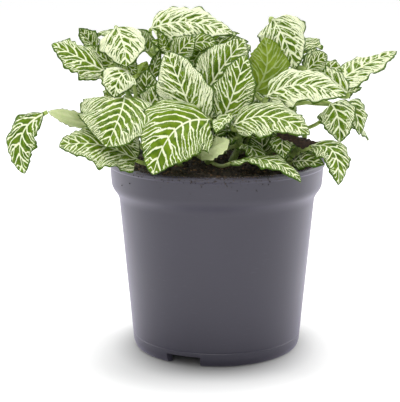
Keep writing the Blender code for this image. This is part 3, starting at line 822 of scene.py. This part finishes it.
# Each leaf: its shoot and how far up it grows, the blade's base, middle and tip on the midrib, the blade's
# width, the way its upper side faces, how far the wings fold up and then droop in degrees, and its ruffle.
LEAVES = {
    "front_big": ("front", 0.95, (-5, -35, 132), (-22, -56, 130), (-33, -67, 109),
        38, (0.1, -0.8, 0.6), 8, 40, 0.9),
    "front_upright": ("front", 0.72, (-11, -29, 129), (-19, -31, 149), (-27, -24, 167),
        28, (0, -1, 0.2), 12, 30, 0.8),
    "left_front": ("left", 0.72, (-49, -30, 143), (-51, -49, 135), (-57, -60, 122),
        45, (0.1, -0.6, 0.8), 16, 42, 0.9),
    "far_left_neck": ("left", 0.44, (-64, -27, 128), (-76, -46, 135), (-86, -59, 140),
        8, (0, 1, -0.2), 8, 10, 0.3),
    "low_left": ("left", 0.14, (-43, -40, 112), (-62, -52, 122), (-81, -58, 122),
        30, (0, -0.6, 0.8), 8, 30, 0.9),
    "upper_left": ("left", 0.90, (-61, -16, 156), (-74, -22, 164), (-87, -26, 171),
        22, (-0.2, -0.7, 0.7), 8, 40, 0.9),
    "left_curl": ("left", 0.97, (-66, -4, 167), (-70, -6, 172), (-74, -8, 178),
        12, (0.3, -0.8, 0.5), 30, 20, 0.5),
    "left_top": ("left", 0.99, (-54, -8, 178), (-50, -17, 170), (-48, -25, 159),
        26, (0, -0.7, 0.7), 8, 50, 0.8),
    "left_inner": ("left", 0.85, (-48, -22, 156), (-52, -30, 153), (-54, -35, 144),
        20, (0, -0.8, 0.6), 8, 40, 0.8),
    "centre_young": ("front", 0.84, (6, -31, 134), (2, -38, 131), (-1, -45, 127),
        11, (-0.4, -0.7, 0.4), 14, 10, 0.5),
    "centre_pale": ("centre", 0.40, (-8, -36, 115), (-1, -43, 119), (6, -46, 123),
        14, (0.2, 0.7, -0.8), 10, 20, 0.5),
    "behind_upright": ("front", 0.99, (-8, -18, 141), (3, -13, 158), (15, -6, 172),
        27, (0.1, -1, 0.3), 8, 35, 0.8),
    "centre_upright": ("centre", 0.99, (3, -23, 131), (9, -24, 147), (15, -18, 165),
        23, (0, -1, 0.1), 12, 30, 0.8),
    "front_right": ("centre", 0.80, (9, -32, 129), (27, -42, 135), (47, -51, 127),
        27, (0.2, -0.7, 0.8), 8, 40, 0.9),
    "right_underside": ("right", 0.99, (21, -6, 144), (27, -4, 157), (26, 3, 172),
        25, (0.1, 1, -0.2), 6, 30, 0.7),
    "right_top": ("right_back", 0.99, (31, 13, 181), (37, 8, 171), (43, 2, 155),
        27, (0.1, -1, 0.3), 8, 40, 0.9),
    "right_top_low": ("right_back", 0.92, (50, 3, 155), (55, 0, 160), (60, -1, 163),
        13, (0.2, -0.8, 0.4), 6, 40, 0.6),
    "right_cream": ("right", 0.86, (27, -21, 143), (44, -29, 150), (67, -36, 145),
        27, (0.2, -0.7, 0.7), 8, 40, 0.9),
    "right_droop": ("right", 0.95, (61, -18, 138), (64, -24, 132), (65, -27, 119),
        20, (0, -0.9, 0.4), 10, 30, 0.5),
    "right_lobe": ("right_back", 0.62, (70, -8, 136), (75, -12, 132), (77, -14, 121),
        15, (0.4, -0.9, 0.2), 10, 30, 0.5),
    "right_hanging": ("low_right", 0.70, (50, -34, 118), (60, -46, 117), (62, -53, 101),
        18, (0.3, -0.7, 0.7), 8, 40, 0.7),
    "over_rim": ("front", 0.10, (8, -38, 110), (26, -53, 114), (42, -64, 105), 20, (0, -0.1, 1), 6, 30, 0.6),
    "low_shaded": ("low_right", 0.40, (36, -24, 121), (34, -31, 119), (35, -36, 112),
        14, (0, -0.8, 0.5), 8, 30, 0.5),
    "low_ruffled": ("low_right", 0.15, (41, -25, 108), (47, -31, 110), (56, -37, 109),
        11, (0, -0.7, 0.7), 8, 20, 0.6),
    "far_right": ("right_back", 0.70, (63, 13, 143), (83, 33, 153), (106, 54, 160),
        20, (-0.1, -0.6, 0.8), 8, 40, 0.8),
    "right_small": ("right_back", 0.80, (56, 12, 147), (63, 14, 154), (70, 16, 152),
        13, (0, -0.8, 0.6), 8, 40, 0.6),
    "right_small_back": ("right_back", 0.86, (53, 19, 152), (56, 21, 158), (60, 22, 162),
        10, (0, -1, 0.3), 8, 30, 0.4),
    "top_wide": ("left_back", 0.99, (-36, 14, 176), (-16, 9, 180), (9, 4, 174),
        25, (0, -0.8, 0.6), 6, 40, 0.9),
    "top_bud": ("left_back", 0.96, (-29, -2, 166), (-30, -4, 171), (-32, -6, 177),
        7, (0.2, -1, 0.2), 30, 10, 0.3),
    "top_young": ("left_back", 0.93, (-16, 1, 167), (-8, 0, 170), (0, -2, 168),
        11, (0, -0.9, 0.4), 6, 30, 0.4),
    "top_inner": ("left_back", 0.78, (-22, 13, 165), (-25, 11, 166), (-28, 9, 168),
        10, (0, -0.8, 0.6), 8, 30, 0.5),
    "top_left": ("left_back", 0.92, (-38, 3, 165), (-41, 0, 171), (-44, -3, 177),
        13, (-0.1, -0.9, 0.4), 8, 30, 0.5),
    "shaded_fold": ("left_back", 0.60, (-45, 1, 146), (-42, 2, 153), (-38, 2, 159),
        11, (0.2, 0.9, -0.3), 20, 10, 0.3),
    "shaded_low": ("left_back", 0.40, (-37, -10, 138), (-38, -12, 147), (-38, -10, 156),
        14, (0, -1, 0.2), 8, 30, 0.5),
    "left_behind": ("left", 0.80, (-62, -1, 150), (-64, 4, 159), (-66, 7, 168),
        16, (-0.1, -1, 0.2), 8, 30, 0.6),
    "back_left_low": ("left_back", 0.50, (-40, 28, 138), (-52, 42, 142), (-60, 57, 130),
        34, (-0.4, 0.5, 0.9), 8, 45, 1.0),
    "back_left_high": ("left_back", 0.88, (-38, 22, 162), (-47, 36, 167), (-54, 52, 158),
        30, (-0.3, 0.6, 0.8), 8, 45, 1.0),
    "back_low": ("back", 0.60, (-6, 40, 135), (-13, 56, 137), (-18, 68, 120),
        38, (-0.2, 0.6, 0.8), 8, 45, 1.0),
    "back_high": ("back", 0.99, (6, 41, 160), (5, 54, 165), (3, 68, 155), 32, (0, 0.6, 0.8), 8, 45, 1.0),
    "back_right_low": ("back", 0.50, (22, 38, 130), (34, 51, 132), (44, 62, 116),
        34, (0.3, 0.6, 0.8), 8, 45, 1.0),
    "back_right_high": ("right_back", 0.90, (42, 22, 163), (46, 36, 168), (50, 52, 158),
        30, (0.2, 0.6, 0.8), 8, 45, 1.0),
    "right_side_low": ("right_back", 0.35, (58, 14, 124), (73, 19, 126), (87, 24, 112),
        30, (0.6, 0.1, 0.8), 8, 45, 1.0),
    "left_side_low": ("left", 0.40, (-53, 8, 124), (-62, 18, 127), (-68, 28, 117),
        28, (-0.6, 0.2, 0.8), 8, 45, 0.9),
    "top_centre": ("back", 0.94, (0, 24, 160), (2, 16, 167), (6, 6, 170), 26, (0.1, -0.8, 0.6), 8, 40, 0.8),
    "right_back_mid": ("right_back", 0.60, (52, 30, 140), (62, 43, 144), (70, 54, 134),
        28, (0.4, 0.5, 0.8), 8, 45, 0.9),
    "left_back_top": ("left_back", 0.95, (-46, 18, 170), (-60, 23, 174), (-74, 27, 166),
        26, (-0.4, 0.2, 0.9), 8, 45, 0.9),
    "back_rim": ("back", 0.20, (10, 40, 113), (15, 54, 117), (20, 67, 107), 26, (0.1, 0.4, 0.9), 8, 40, 0.8),
    "top_fill": ("left_back", 0.86, (-22, -5, 162), (-18, -8, 168), (-12, -9, 173),
        15, (0, -0.9, 0.4), 8, 35, 0.6),
    "left_mid": ("left", 0.55, (-38, -21, 136), (-33, -28, 143), (-30, -30, 151),
        15, (0.1, -1, 0.2), 8, 35, 0.6),
}
# This leaf hangs from the end of the narrow one beside it. Its last number says where it is widest.
FAR_LEFT = ((-88, -60, 139), (-99, -64, 128), (-98, -64, 109), 16, (-0.2, -0.9, 0.3), 8, 35, 0.9, 0.52)
# Smaller leaves in the shade of the others, in the same terms.
SMALL_LEAVES = {
    "right_fan": ("right_back", 0.75, (71, 2, 142), (62, 4, 150), (52, 8, 156),
        13, (0, -0.8, 0.5), 8, 35, 0.9),
    "right_shoulder": ("right_back", 0.92, (53, 14, 152.5), (53, 14, 159.5), (55, 15, 165.5),
        10, (0, -1, 0.3), 8, 35, 0.8),
    "far_right_lobe": ("right_back", 0.66, (66, 12, 139.5), (73, 8, 141.5), (80, 6, 144.5),
        5.2, (0, -0.8, 0.6), 8, 35, 0.8),
    "inner_lime": ("left_back", 0.5, (-35, -6, 141), (-38, -8, 147), (-43, -6, 153),
        12, (0.2, 1, -0.3), 10, 30, 0.6),
    "inner_net": ("front", 0.55, (-35, -14, 132), (-35, -16, 140), (-37, -14, 149),
        13, (0, -1, 0.2), 8, 35, 0.8),
    "inner_dark": ("left_back", 0.7, (-37, -1.5, 149), (-34, -1.5, 157), (-31, -1.5, 166),
        7, (0.3, -1, 0), 20, 20, 0.5),
    "top_gap_right": ("back", 0.9, (-5, 6, 164), (6, 3, 169), (17, 0, 170), 8.8, (0, -0.9, 0.4), 8, 35, 0.8),
    "top_gap_left": ("left_back", 0.8, (-20, -0.5, 164), (-27, -2.5, 168), (-36, -4.5, 171),
        10, (0, -0.9, 0.4), 8, 35, 0.8),
    "top_olive": ("left_back", 0.7, (-16, 7.5, 170), (-11, 5.5, 172), (-3, 3.5, 169),
        5, (0, 1, -0.2), 10, 20, 0.4),
    "low_dark_front": ("low_right", 0.6, (24, -14, 112), (24, -16, 119), (21, -14, 127),
        14, (0, -1, 0.2), 8, 35, 0.8),
    "low_dark_side": ("low_right", 0.55, (44, -17.5, 110.5), (50, -21.5, 114.5), (59, -21.5, 115.5),
        9, (0, -0.8, 0.6), 8, 35, 0.8),
    "low_dark_inner": ("right", 0.4, (13, 4, 109), (11, 0, 117), (9, -2, 125), 13, (0, -1, 0.2), 8, 35, 0.8),
    "left_low_inner": ("left", 0.25, (-52, -20.5, 130), (-48, -24.5, 126), (-44, -26.5, 117),
        13, (0, -0.9, 0.4), 8, 35, 0.8),
    "low_left_inner": ("left", 0.15, (-52, -33, 125), (-47, -36, 119), (-42, -39, 113),
        15, (0.2, -0.8, 0.4), 8, 35, 0.8),
    "gap_high": ("left_back", 0.65, (-8, 18, 165.5), (-11, 16, 160.5), (-15, 14, 155.5),
        13, (0, -1, 0.2), 8, 35, 0.8),
    "left_gap": ("left", 0.70, (-52, -13.5, 162.5), (-48, -14.5, 158.5), (-43, -14.5, 154.5),
        12, (0, -1, 0.2), 8, 35, 0.8),
    "left_shoulder": ("left", 0.88, (-57, -6, 159), (-63, -9, 163), (-68, -8, 169),
        11, (0, -0.9, 0.4), 8, 35, 0.8),
}
# How white the net is and how yellow the green is, where a leaf isn't (0.5, 0.5). Past 1 the net's cream runs
# together.
# Painted shade: the young leaves and the low dark ones (low_dark_front, low_dark_side, low_dark_inner) get
# little net and little yellow, so that they read dark for the shade inside the plant.
LOOKS = {
    "front_big": (0.3, 0.8), "front_upright": (1.0, 0.5), "left_front": (0.6, 0.6), "upper_left": (0.6, 0.8),
    "left_top": (1.5, 0.6), "left_inner": (1.4, 0.5), "top_wide": (1.6, 0.6), "right_top": (1.4, 0.5),
    "inner_lime": (0.2, 0.7), "inner_dark": (0.1, 0.3), "top_olive": (0.2, 0.8), "right_fan": (1.2, 0.8),
    "right_shoulder": (1.2, 0.6), "far_right_lobe": (0.9, 0.8), "low_dark_front": (0.1, 0.0),
    "low_dark_inner": (0.1, 0.0), "young": (0.1, 0.1), "low_dark_side": (0.3, 0.2),
    "left_low_inner": (0.2, 0.3), "inner_net": (0.9, 0.5), "left_shoulder": (0.4, 0.9),
    "low_left_inner": (0.9, 0.7), "gap_high": (0.6, 0.4), "left_gap": (0.3, 0.5),
    "behind_upright": (0.7, 0.5), "centre_upright": (0.4, 0.6), "front_right": (0.7, 0.7),
    "right_cream": (1.4, 0.7), "right_droop": (0.7, 0.4), "right_lobe": (0.6, 0.3), "far_right": (1.2, 0.8),
    "far_left": (0.4, 0.2), "low_left": (0.6, 0.8), "right_hanging": (0.5, 0.3), "over_rim": (0.4, 0.3),
    "low_shaded": (0.4, 0.2), "low_ruffled": (0.4, 0.1), "centre_young": (0.9, 1.0), "top_young": (0.0, 1.0),
    "top_bud": (0.0, 1.0), "right_underside": (0.2, 0.9), "centre_pale": (1.2, 1.0),
    "far_left_neck": (1.2, 1.0),
}
# A dead leaf, rolled up along its length, lies across the low leaves on the right.
DEAD_LEAF = ((28, -24, 125), (36, -27, 124), (42, -30, 119), (52, -31, 117), (58, -29, 116))
leaf_dice = np.random.default_rng(5)



def half_width(share, width, widest):
    """The blade's half width along the midrib: rounded at the base, pointed at the tip."""
    base_point = BASE_ROUNDNESS + 2 * (widest - WIDEST_AT)
    tip_point = base_point * (1 - widest) / widest
    shape = (share / widest) ** base_point * ((1 - share) / (1 - widest)) ** tip_point
    return np.maximum(width / 2 * shape, 0.25)


def wing(reach, fold, droop):
    """How far out and up a wing runs from the midrib, and its slope, which starts at the fold and droops."""
    fine = (np.arange(WING_STEPS) + 0.5) / WING_STEPS
    slope = np.radians(fold - droop * fine**1.5)
    ends = np.append(0, fine + 0.5 / WING_STEPS)
    out = np.interp(reach, ends, np.append(0, np.cumsum(np.cos(slope)) / WING_STEPS))
    rise = np.interp(reach, ends, np.append(0, np.cumsum(np.sin(slope)) / WING_STEPS))
    return out, rise, np.radians(fold - droop * reach**1.5)


def hill(value, width):
    """A bell that is 1 at 0 and fades within the width."""
    return np.exp(-((value / width) ** 2))


def sway(turns):
    """A sine wave of that many whole turns."""
    return np.sin(2 * np.pi * turns)


def stalk_rings(root, leave, midrib, side, count):
    """Rings round the curve that leaves the shoot along one way and enters the blade along its midrib."""
    gap = STALK_BEND * np.linalg.norm(midrib[0] - root)
    curve = (root, root + leave * gap, midrib[0] - direction(midrib[1] - midrib[0]) * gap, midrib[0])
    along = np.linspace(0, 1, int(np.clip(gap / STALK_BEND * 0.7, *STALK_ROWS)))[::-1]
    places, tangents = bezier(curve, along)
    return tube(places, tangents, STALK_RADIUS - STALK_WAIST * np.sin(np.pi * along), side, count)[::-1]


def round_and_back(upper, lower):
    """The upper side's columns, then the lower side's from the far margin back to the near one."""
    return np.concatenate([upper, lower[:, -2:0:-1]], axis=1)


def grow_leaf(
    name, number, root, leave, base, middle, tip, width, facing, fold, droop, wave, widest=WIDEST_AT
):
    """One closed skin: a round stalk whose rings flatten into the blade's.

    Across the blade a ring runs over the upper side from margin to margin and back underneath. A point lies
    out from the midrib by the wing's curve, up by its rise, the ruffle and the quilting between side veins,
    and half the blade's thickness off that surface. A side vein slants towards the tip and bends further that
    way as it goes, so a point's vein number is its distance along the midrib, less the slant times its
    distance aside and a little of that distance squared, over the space between two veins.
    """
    phase = number * GOLDEN_TURN
    midrib = through_middle(base, middle, tip)
    fine_places, _ = bezier(midrib, np.linspace(0, 1, 60))
    length = np.linalg.norm(np.diff(fine_places, axis=0), axis=1).sum()
    rows = int(np.clip(length / ROW_LENGTH, *BLADE_ROWS))
    half = int(np.clip(width / COLUMN_WIDTH, *HALF_COLUMNS))
    share = np.linspace(0, 1, rows + 1)[1:] ** 1.15
    share[-1] = 0.998
    places, tangents = bezier(midrib, share)
    side = direction(np.cross(tangents, np.asarray(facing, float)))
    turned = (math.radians(LEAF_TWIST) * math.sin(2.4 * number) * share)[:, None]
    side = np.cos(turned) * side + np.sin(turned) * np.cross(side, tangents)
    up = np.cross(side, tangents)
    level = np.linspace(-1, 1, 2 * half + 1)
    reach = np.sign(level) * np.abs(level) ** 0.9
    away = np.abs(reach)[None]
    right = (reach > 0)[None]
    out, rise, slope = wing(np.abs(reach), fold, droop)
    s = share[:, None]
    spread = half_width(share, width, widest)[:, None]
    side_veins = np.clip(length / SIDE_VEIN_GAP, *VEIN_PAIRS)
    aside = reach[None] * spread
    on_midrib = s * length - VEIN_SLANT * np.abs(aside) - VEIN_BEND * aside**2
    vein = on_midrib * side_veins / length + 0.25 * right
    lobe = 0.5 - 0.5 * np.cos(2 * np.pi * vein)
    teeth = TOOTH * sway(s * length / TOOTH_GAP + 0.3 * right) * away**8
    waver = 0.07 * sway(1.7 * s + 0.31 * number + 0.45 * right)
    waver = 1 + away**3 * (waver + 0.045 * sway(4.1 * s + 0.77 * number + 0.2 * right))
    margin = spread * out[None] * waver + (LOBE * lobe * away**5 + teeth) * np.minimum(1, spread / 5)
    ruffle = RUFFLE * wave * away**2.5 * sway(WAVES * s + phase + 0.37 * right) * np.sin(np.pi * s)
    flutter = FLUTTER * wave * away**4 * sway(WAVES * 2.7 * s + 1.7 * phase) * np.sin(np.pi * s)
    quilt = QUILT * lobe * np.minimum(1, away * 3) * (1 - away**2) * np.minimum(1, spread / 8)
    keel = hill(away * spread, GROOVE_WIDTH)
    lift = rise[None] * spread + ruffle + flutter + quilt - GROOVE * keel
    across = (np.sign(reach)[None] * margin)[..., None] * side[:, None]
    skin = places[:, None] + across + lift[..., None] * up[:, None]
    lean = (np.sign(reach) * np.sin(slope))[None, :, None] * side[:, None]
    normal = np.cos(slope)[None, :, None] * up[:, None] - lean
    thick = BLADE_THICKNESS / 2 * np.sqrt(np.clip(1 - away**6, 0, 1)) + 0 * s
    ridge = (0.75 * (1 - s) + 0.15) * keel + 0.16 * hill(np.abs((vein + 0.5) % 1 - 0.5), 0.12) * (1 - away)
    blade = round_and_back(skin + thick[..., None] * normal, skin - (thick + ridge)[..., None] * normal)
    count = blade.shape[1]

    settle = np.clip(share / SETTLES_WITHIN, 0, 1)
    settle = (settle**2 * (3 - 2 * settle))[:, None, None]
    round_rings = places[:, None] + STALK_RADIUS * spokes(count, side, up)
    blade = blade * settle + round_rings * (1 - settle)
    stalk = stalk_rings(root, leave, midrib, side[0], count)[:-1]
    mesh = closed_tube(name, np.concatenate([stalk, blade]))

    # Each point carries its vein number, its distance aside and its share of the midrib, and then the space
    # between veins, its distance from the margin, and its face: 0 above, 1 below and 2 on the stalk.
    vein_way = np.stack(np.broadcast_arrays(vein, aside, s), -1)
    spacing = 0.68 * length / side_veins
    above = np.stack(np.broadcast_arrays(spacing, (1 - away) * spread, np.zeros(vein.shape)), -1)
    on_stalk = np.tile((4.0, 0.0, 2.0), (len(stalk), count, 1))
    for what, stem, sheet, ends in (
        ("vein_way", 0 * on_stalk, round_and_back(vein_way, vein_way), [[0, 0, 0], [0, 0, 1]]),
        ("vein_span", on_stalk, round_and_back(above, above + (0, 0, 1)), [[4, 0, 2], [4, 0, 0]]),
    ):
        carry(mesh, what, np.concatenate([np.concatenate([stem, sheet]).reshape(-1, 3), ends]))
    white, yellow = LOOKS.get(name, (0.5, 0.5))
    carry(mesh, "leaf_look", np.tile((white, yellow, (number * 7.31) % 50), (len(mesh.vertices), 1)))
    return mesh


def combine(*numbers):
    """A vector of up to three wires."""
    return add_node(numbers[0].tree, "ShaderNodeCombineXYZ", dict(enumerate(numbers)))


def leaf_green():
    """The blade's finish.

    A point is vein where it is nearer than a vein's half width to the midrib, to a side vein (the vein number
    is whole there), to the fork and twig that each side vein sends out to one side on its way to the margin,
    or to the net between them (the borders of cells that are long the way the side veins run).
    """
    material, shader, where = new_finish("leaf_green")
    number, aside, along = split(carried(where, "vein_way"))
    spacing, rim, face = split(carried(where, "vein_span"))
    white, yellow, seed = split(carried(where, "leaf_look"))
    away = abs(aside)
    outward = aside / spacing
    reach = away / (away + rim + 0.01)
    spot = combine(number, outward, seed)
    wander = (grain(spot, 1.1, 3, 0.6) - 0.5) * ease(away, 0.0, 4.0, 0.1, 0.9)
    number = number + wander
    jagged = grain(spot, 6.0, 2, 0.7) - 0.5

    side_half = ease(reach, 0.0, 1.0, 0.105, 0.055) + white * 0.035 + jagged * 0.10
    side_vein = ease(side_half - reckon("PINGPONG", number, 0.5), -0.018, 0.018)
    midrib = ease(ease(along, 0.0, 1.0, 0.13, 0.05) * spacing - away, -0.12, 0.12)

    lane = reckon("FLOOR", number)
    which = {"Vector": combine(lane, reckon("SIGN", aside), seed)}
    chance = add_node(where.tree, "ShaderNodeTexWhiteNoise", which, "Color", noise_dimensions="3D")
    early, turned_round, late = split(chance)
    place = abs(number - lane - reckon("ROUND", turned_round))
    drift = ease(reach - ease(early, 0.0, 1.0, 0.08, 0.42), 0.0, 0.34, 0.0, 0.5)
    spread = ease(reach - ease(late, 0.0, 1.0, 0.40, 0.65), 0.0, 0.3, 0.0, 0.25)
    twig = abs(abs(place - 0.5) - spread) + ease(spread, 0.0, 0.04, 0.3, 0.0)
    fork = reckon("MINIMUM", abs(place - drift), twig + ease(white, 0.2, 1.0, 0.055, 0.01))
    fork_vein = ease(white * 0.045 + 0.052 + jagged * 0.12 - fork, -0.018, 0.018)

    cell = combine(number * 1.5 + seed, outward * 0.75 + seed * 1.7)
    net = add_node(where.tree, "ShaderNodeTexVoronoi", {"Vector": cell, "Scale": 1.0, "Randomness": 1.0},
                   "Distance", voronoi_dimensions="2D", feature="DISTANCE_TO_EDGE")
    net_vein = ease(white * 0.065 - 0.045 + jagged * 0.16 - net, -0.02, 0.03)
    net_vein = reckon("MAXIMUM", net_vein, fork_vein) * ease(rim, 0.2, 1.1, 0.1, 1.0)
    veins = reckon("MAXIMUM", reckon("MAXIMUM", side_vein, midrib), net_vein)
    veins = veins * ease(rim, 0.50, 1.20, 0.0, 1.0)

    shade = grain(where, 220, 3)
    deep = blend(yellow, (0.018, 0.054, 0.003, 1), (0.048, 0.110, 0.002, 1))
    fresh = blend(yellow, (0.068, 0.158, 0.004, 1), (0.165, 0.275, 0.004, 1))
    green = blend(ease(shade, 0.3, 0.7), deep, fresh)
    green = blend(ease(net, 0.08, 0.4, 0.4, 0.0), green, (0.18, 0.27, 0.012, 1))
    # The dark band along the margin is partly the leaf's own darker edge and partly painted shade where
    # leaves overlap.
    green = blend(ease(rim, 0.3, 1.2, 0.85, 0.0), green, (0.036, 0.084, 0.007, 1))
    cream = blend(shade, (0.74, 0.80, 0.47, 1), (0.88, 0.91, 0.70, 1))
    upper = blend(veins, green, cream)
    lime = blend(ease(shade, 0.3, 0.7), (0.14, 0.22, 0.012, 1), (0.22, 0.31, 0.022, 1))
    lime = blend(ease(white * yellow, 1.0, 1.15), lime, (0.58, 0.64, 0.34, 1))
    lower = blend(veins * 0.55, lime, (0.50, 0.60, 0.28, 1))
    stalk = blend(ease(shade, 0.35, 0.65), (0.30, 0.40, 0.10, 1), (0.44, 0.53, 0.20, 1))
    skin = blend(ease(face, 0.35, 0.65), upper, lower)
    feed(shader, {
        "Base Color": blend(ease(face, 1.3, 1.7), skin, stalk),
        "Roughness": ease(veins, 0.0, 1.0, 0.44, 0.56),
        "Specular IOR Level": 0.12,
        "Subsurface Weight": 0.08,
        "Subsurface Radius": (0.7, 1.0, 0.15),
        "Subsurface Scale": 0.0012,
        "Normal": raised(grain(where, 2600, 2) * 0.25 - veins, 0.45, 0.00025),
    })
    return material


def tree_of(mesh):
    """The mesh as a search tree of its faces, to find what it cuts through."""
    places = np.empty(3 * len(mesh.vertices))
    mesh.vertices.foreach_get("co", places)
    faces = [tuple(face.vertices) for face in mesh.polygons]
    return BVHTree.FromPolygons(places.reshape(-1, 3).tolist(), faces)


def young_growth(shoot, share, turn, length):
    """A short leaf leaves its shoot at a turn round it, reaches out and a little up, and its tip droops."""
    (place,), (tangent,) = bezier(shoot_path(shoot), [share])
    side = direction(np.cross(tangent, (0, 1, 0)))
    out = math.cos(turn) * side + math.sin(turn) * np.cross(side, tangent)
    root = place + out * (shoot_radius(share) + TOUCH_GAP)
    base = root + out * 0.25 * length + (0, 0, 0.06 * length)
    middle = base + out * 0.48 * length + (0, 0, 0.12 * length)
    tip = base + out * 0.95 * length - (0, 0, 0.10 * length)
    return root, out, base, middle, tip, 0.62 * length, direction(0.35 * out + (0, 0, 1)), 10, 40, 0.5


def bunch(name, meshes):
    """One mesh of several, with what they carry."""
    gathered = bmesh.new()
    for mesh in meshes:
        gathered.from_mesh(mesh)
    joined = bpy.data.meshes.new(name)
    gathered.to_mesh(joined)
    gathered.free()
    joined.shade_smooth()
    return joined


def stalk_start(shoot, share, base):
    """Where a stalk starts, just off the side of its shoot nearest the blade, and the way it leaves."""
    (place,), (tangent,) = bezier(shoot_path(shoot), [share])
    toward = np.asarray(base, float) - place
    leave = direction(toward - tangent * toward.dot(tangent))
    return place + leave * (shoot_radius(share) + TOUCH_GAP), leave


def shrivel(name, path, width):
    """A dead leaf rolled up along its midrib: a tube with a creased section, thickest halfway along."""
    share = np.linspace(0, 1, DEAD_ROWS)
    places, tangents = bezier(path, share)
    middle = width * (0.35 + 0.65 * np.sin(np.pi * share) ** 0.6)
    rings = tube(places, tangents, np.ones(len(share)), (0, 0, 1), DEAD_SIDES)
    turn = ring_turns(DEAD_SIDES)[None]
    s = share[:, None]
    crease = 1 + 0.26 * np.sin(3 * turn + 9 * s) + 0.14 * np.sin(5 * turn - 23 * s)
    crease = crease + 0.10 * np.sin(9 * turn + 61 * s) + 0.08 * np.sin(90 * s)
    radii = (middle[:, None] * crease)[..., None]
    return closed_tube(name, places[:, None] + (rings - places[:, None]) * radii)


def dead_brown():
    """Dead leaf: dark brown, streaked along its length, with paler ridges."""
    material, shader, where = new_finish("dead_brown")
    streak = grain(drawn_out(where, (0.3, 1, 1)), 1300, 4, 0.65)
    feed(shader, {
        "Base Color": blend(ease(streak, 0.35, 0.68), (0.008, 0.005, 0.004, 1), (0.070, 0.036, 0.020, 1)),
        "Roughness": 0.8,
        "Normal": raised(streak, 0.7, 0.0004),
    })
    return material


LEAF_GREEN = leaf_green()
joints_on = {shoot: [] for shoot in SHOOTS}
taken = [tree_of(soil_mesh), tree_of(pot_mesh)]
for number, (name, (shoot, share, base, *shape)) in enumerate(LEAVES.items()):
    leaf_mesh = grow_leaf(name, number, *stalk_start(shoot, share, base), base, *shape)
    stand_piece(f"{name}_leaf", leaf_mesh, LEAF_GREEN, "leaf", f"leaf_{name}")
    joints_on[shoot].append(share)
    taken.append(tree_of(leaf_mesh))
neck_tip = np.array(LEAVES["far_left_neck"][4], float)
hang_start = direction(np.array(FAR_LEFT[0], float) - neck_tip)
hanging_mesh = grow_leaf("far_left", len(LEAVES), neck_tip + hang_start * HANG_GAP, hang_start, *FAR_LEFT)
stand_piece("far_left_leaf", hanging_mesh, LEAF_GREEN, "leaf", "leaf_far_left")

# The small leaves, and then young ones in opposite pairs up each shoot. A young leaf is turned aside until it
# cuts nothing, or else left out.
sprigs = {shoot: [] for shoot in SHOOTS}
number = len(LEAVES)
for name, (shoot, share, base, *shape) in SMALL_LEAVES.items():
    number += 1
    sprigs[shoot].append(grow_leaf(name, number, *stalk_start(shoot, share, base), base, *shape))
    joints_on[shoot].append(share)
    taken.append(tree_of(sprigs[shoot][-1]))
for shoot in SHOOTS:
    for joint, share in enumerate(YOUNG_JOINTS):
        for opposite in (0, 180):
            number += 1
            length = YOUNG_LENGTH * float(leaf_dice.uniform(0.75, 1.1))
            for nudge in YOUNG_TURNS:
                turn = math.radians(90 * joint + opposite + nudge)
                growth = young_growth(shoot, share, turn, length)
                young_mesh = grow_leaf("young", number, *growth)
                room = tree_of(young_mesh)
                near = np.linalg.norm(growth[4][:2]) < YOUNG_REACH
                if near and not any(room.overlap(other) for other in taken):
                    taken.append(room)
                    sprigs[shoot].append(young_mesh)
                    joints_on[shoot].append(share)
                    break
for shoot, meshes in sprigs.items():
    stand_piece(f"{shoot}_young_leaves", bunch(f"{shoot}_young_leaves", meshes), LEAF_GREEN, "leaf")
stand_piece("dead_leaf", shrivel("dead_leaf", DEAD_LEAF, DEAD_WIDTH), dead_brown(), "leaf")

# The stems come last, because each swells where its leaves have turned out to start.
DOWNY_STEM = downy_stem()
for shoot, joints in joints_on.items():
    stand_piece(f"{shoot}_stem", grow_shoot(shoot, joints), DOWNY_STEM, "shoot", f"shoot_{shoot}")
stand_piece("stem_down", grow_down("stem_down", HAIRS), pale_down(), "shoot")
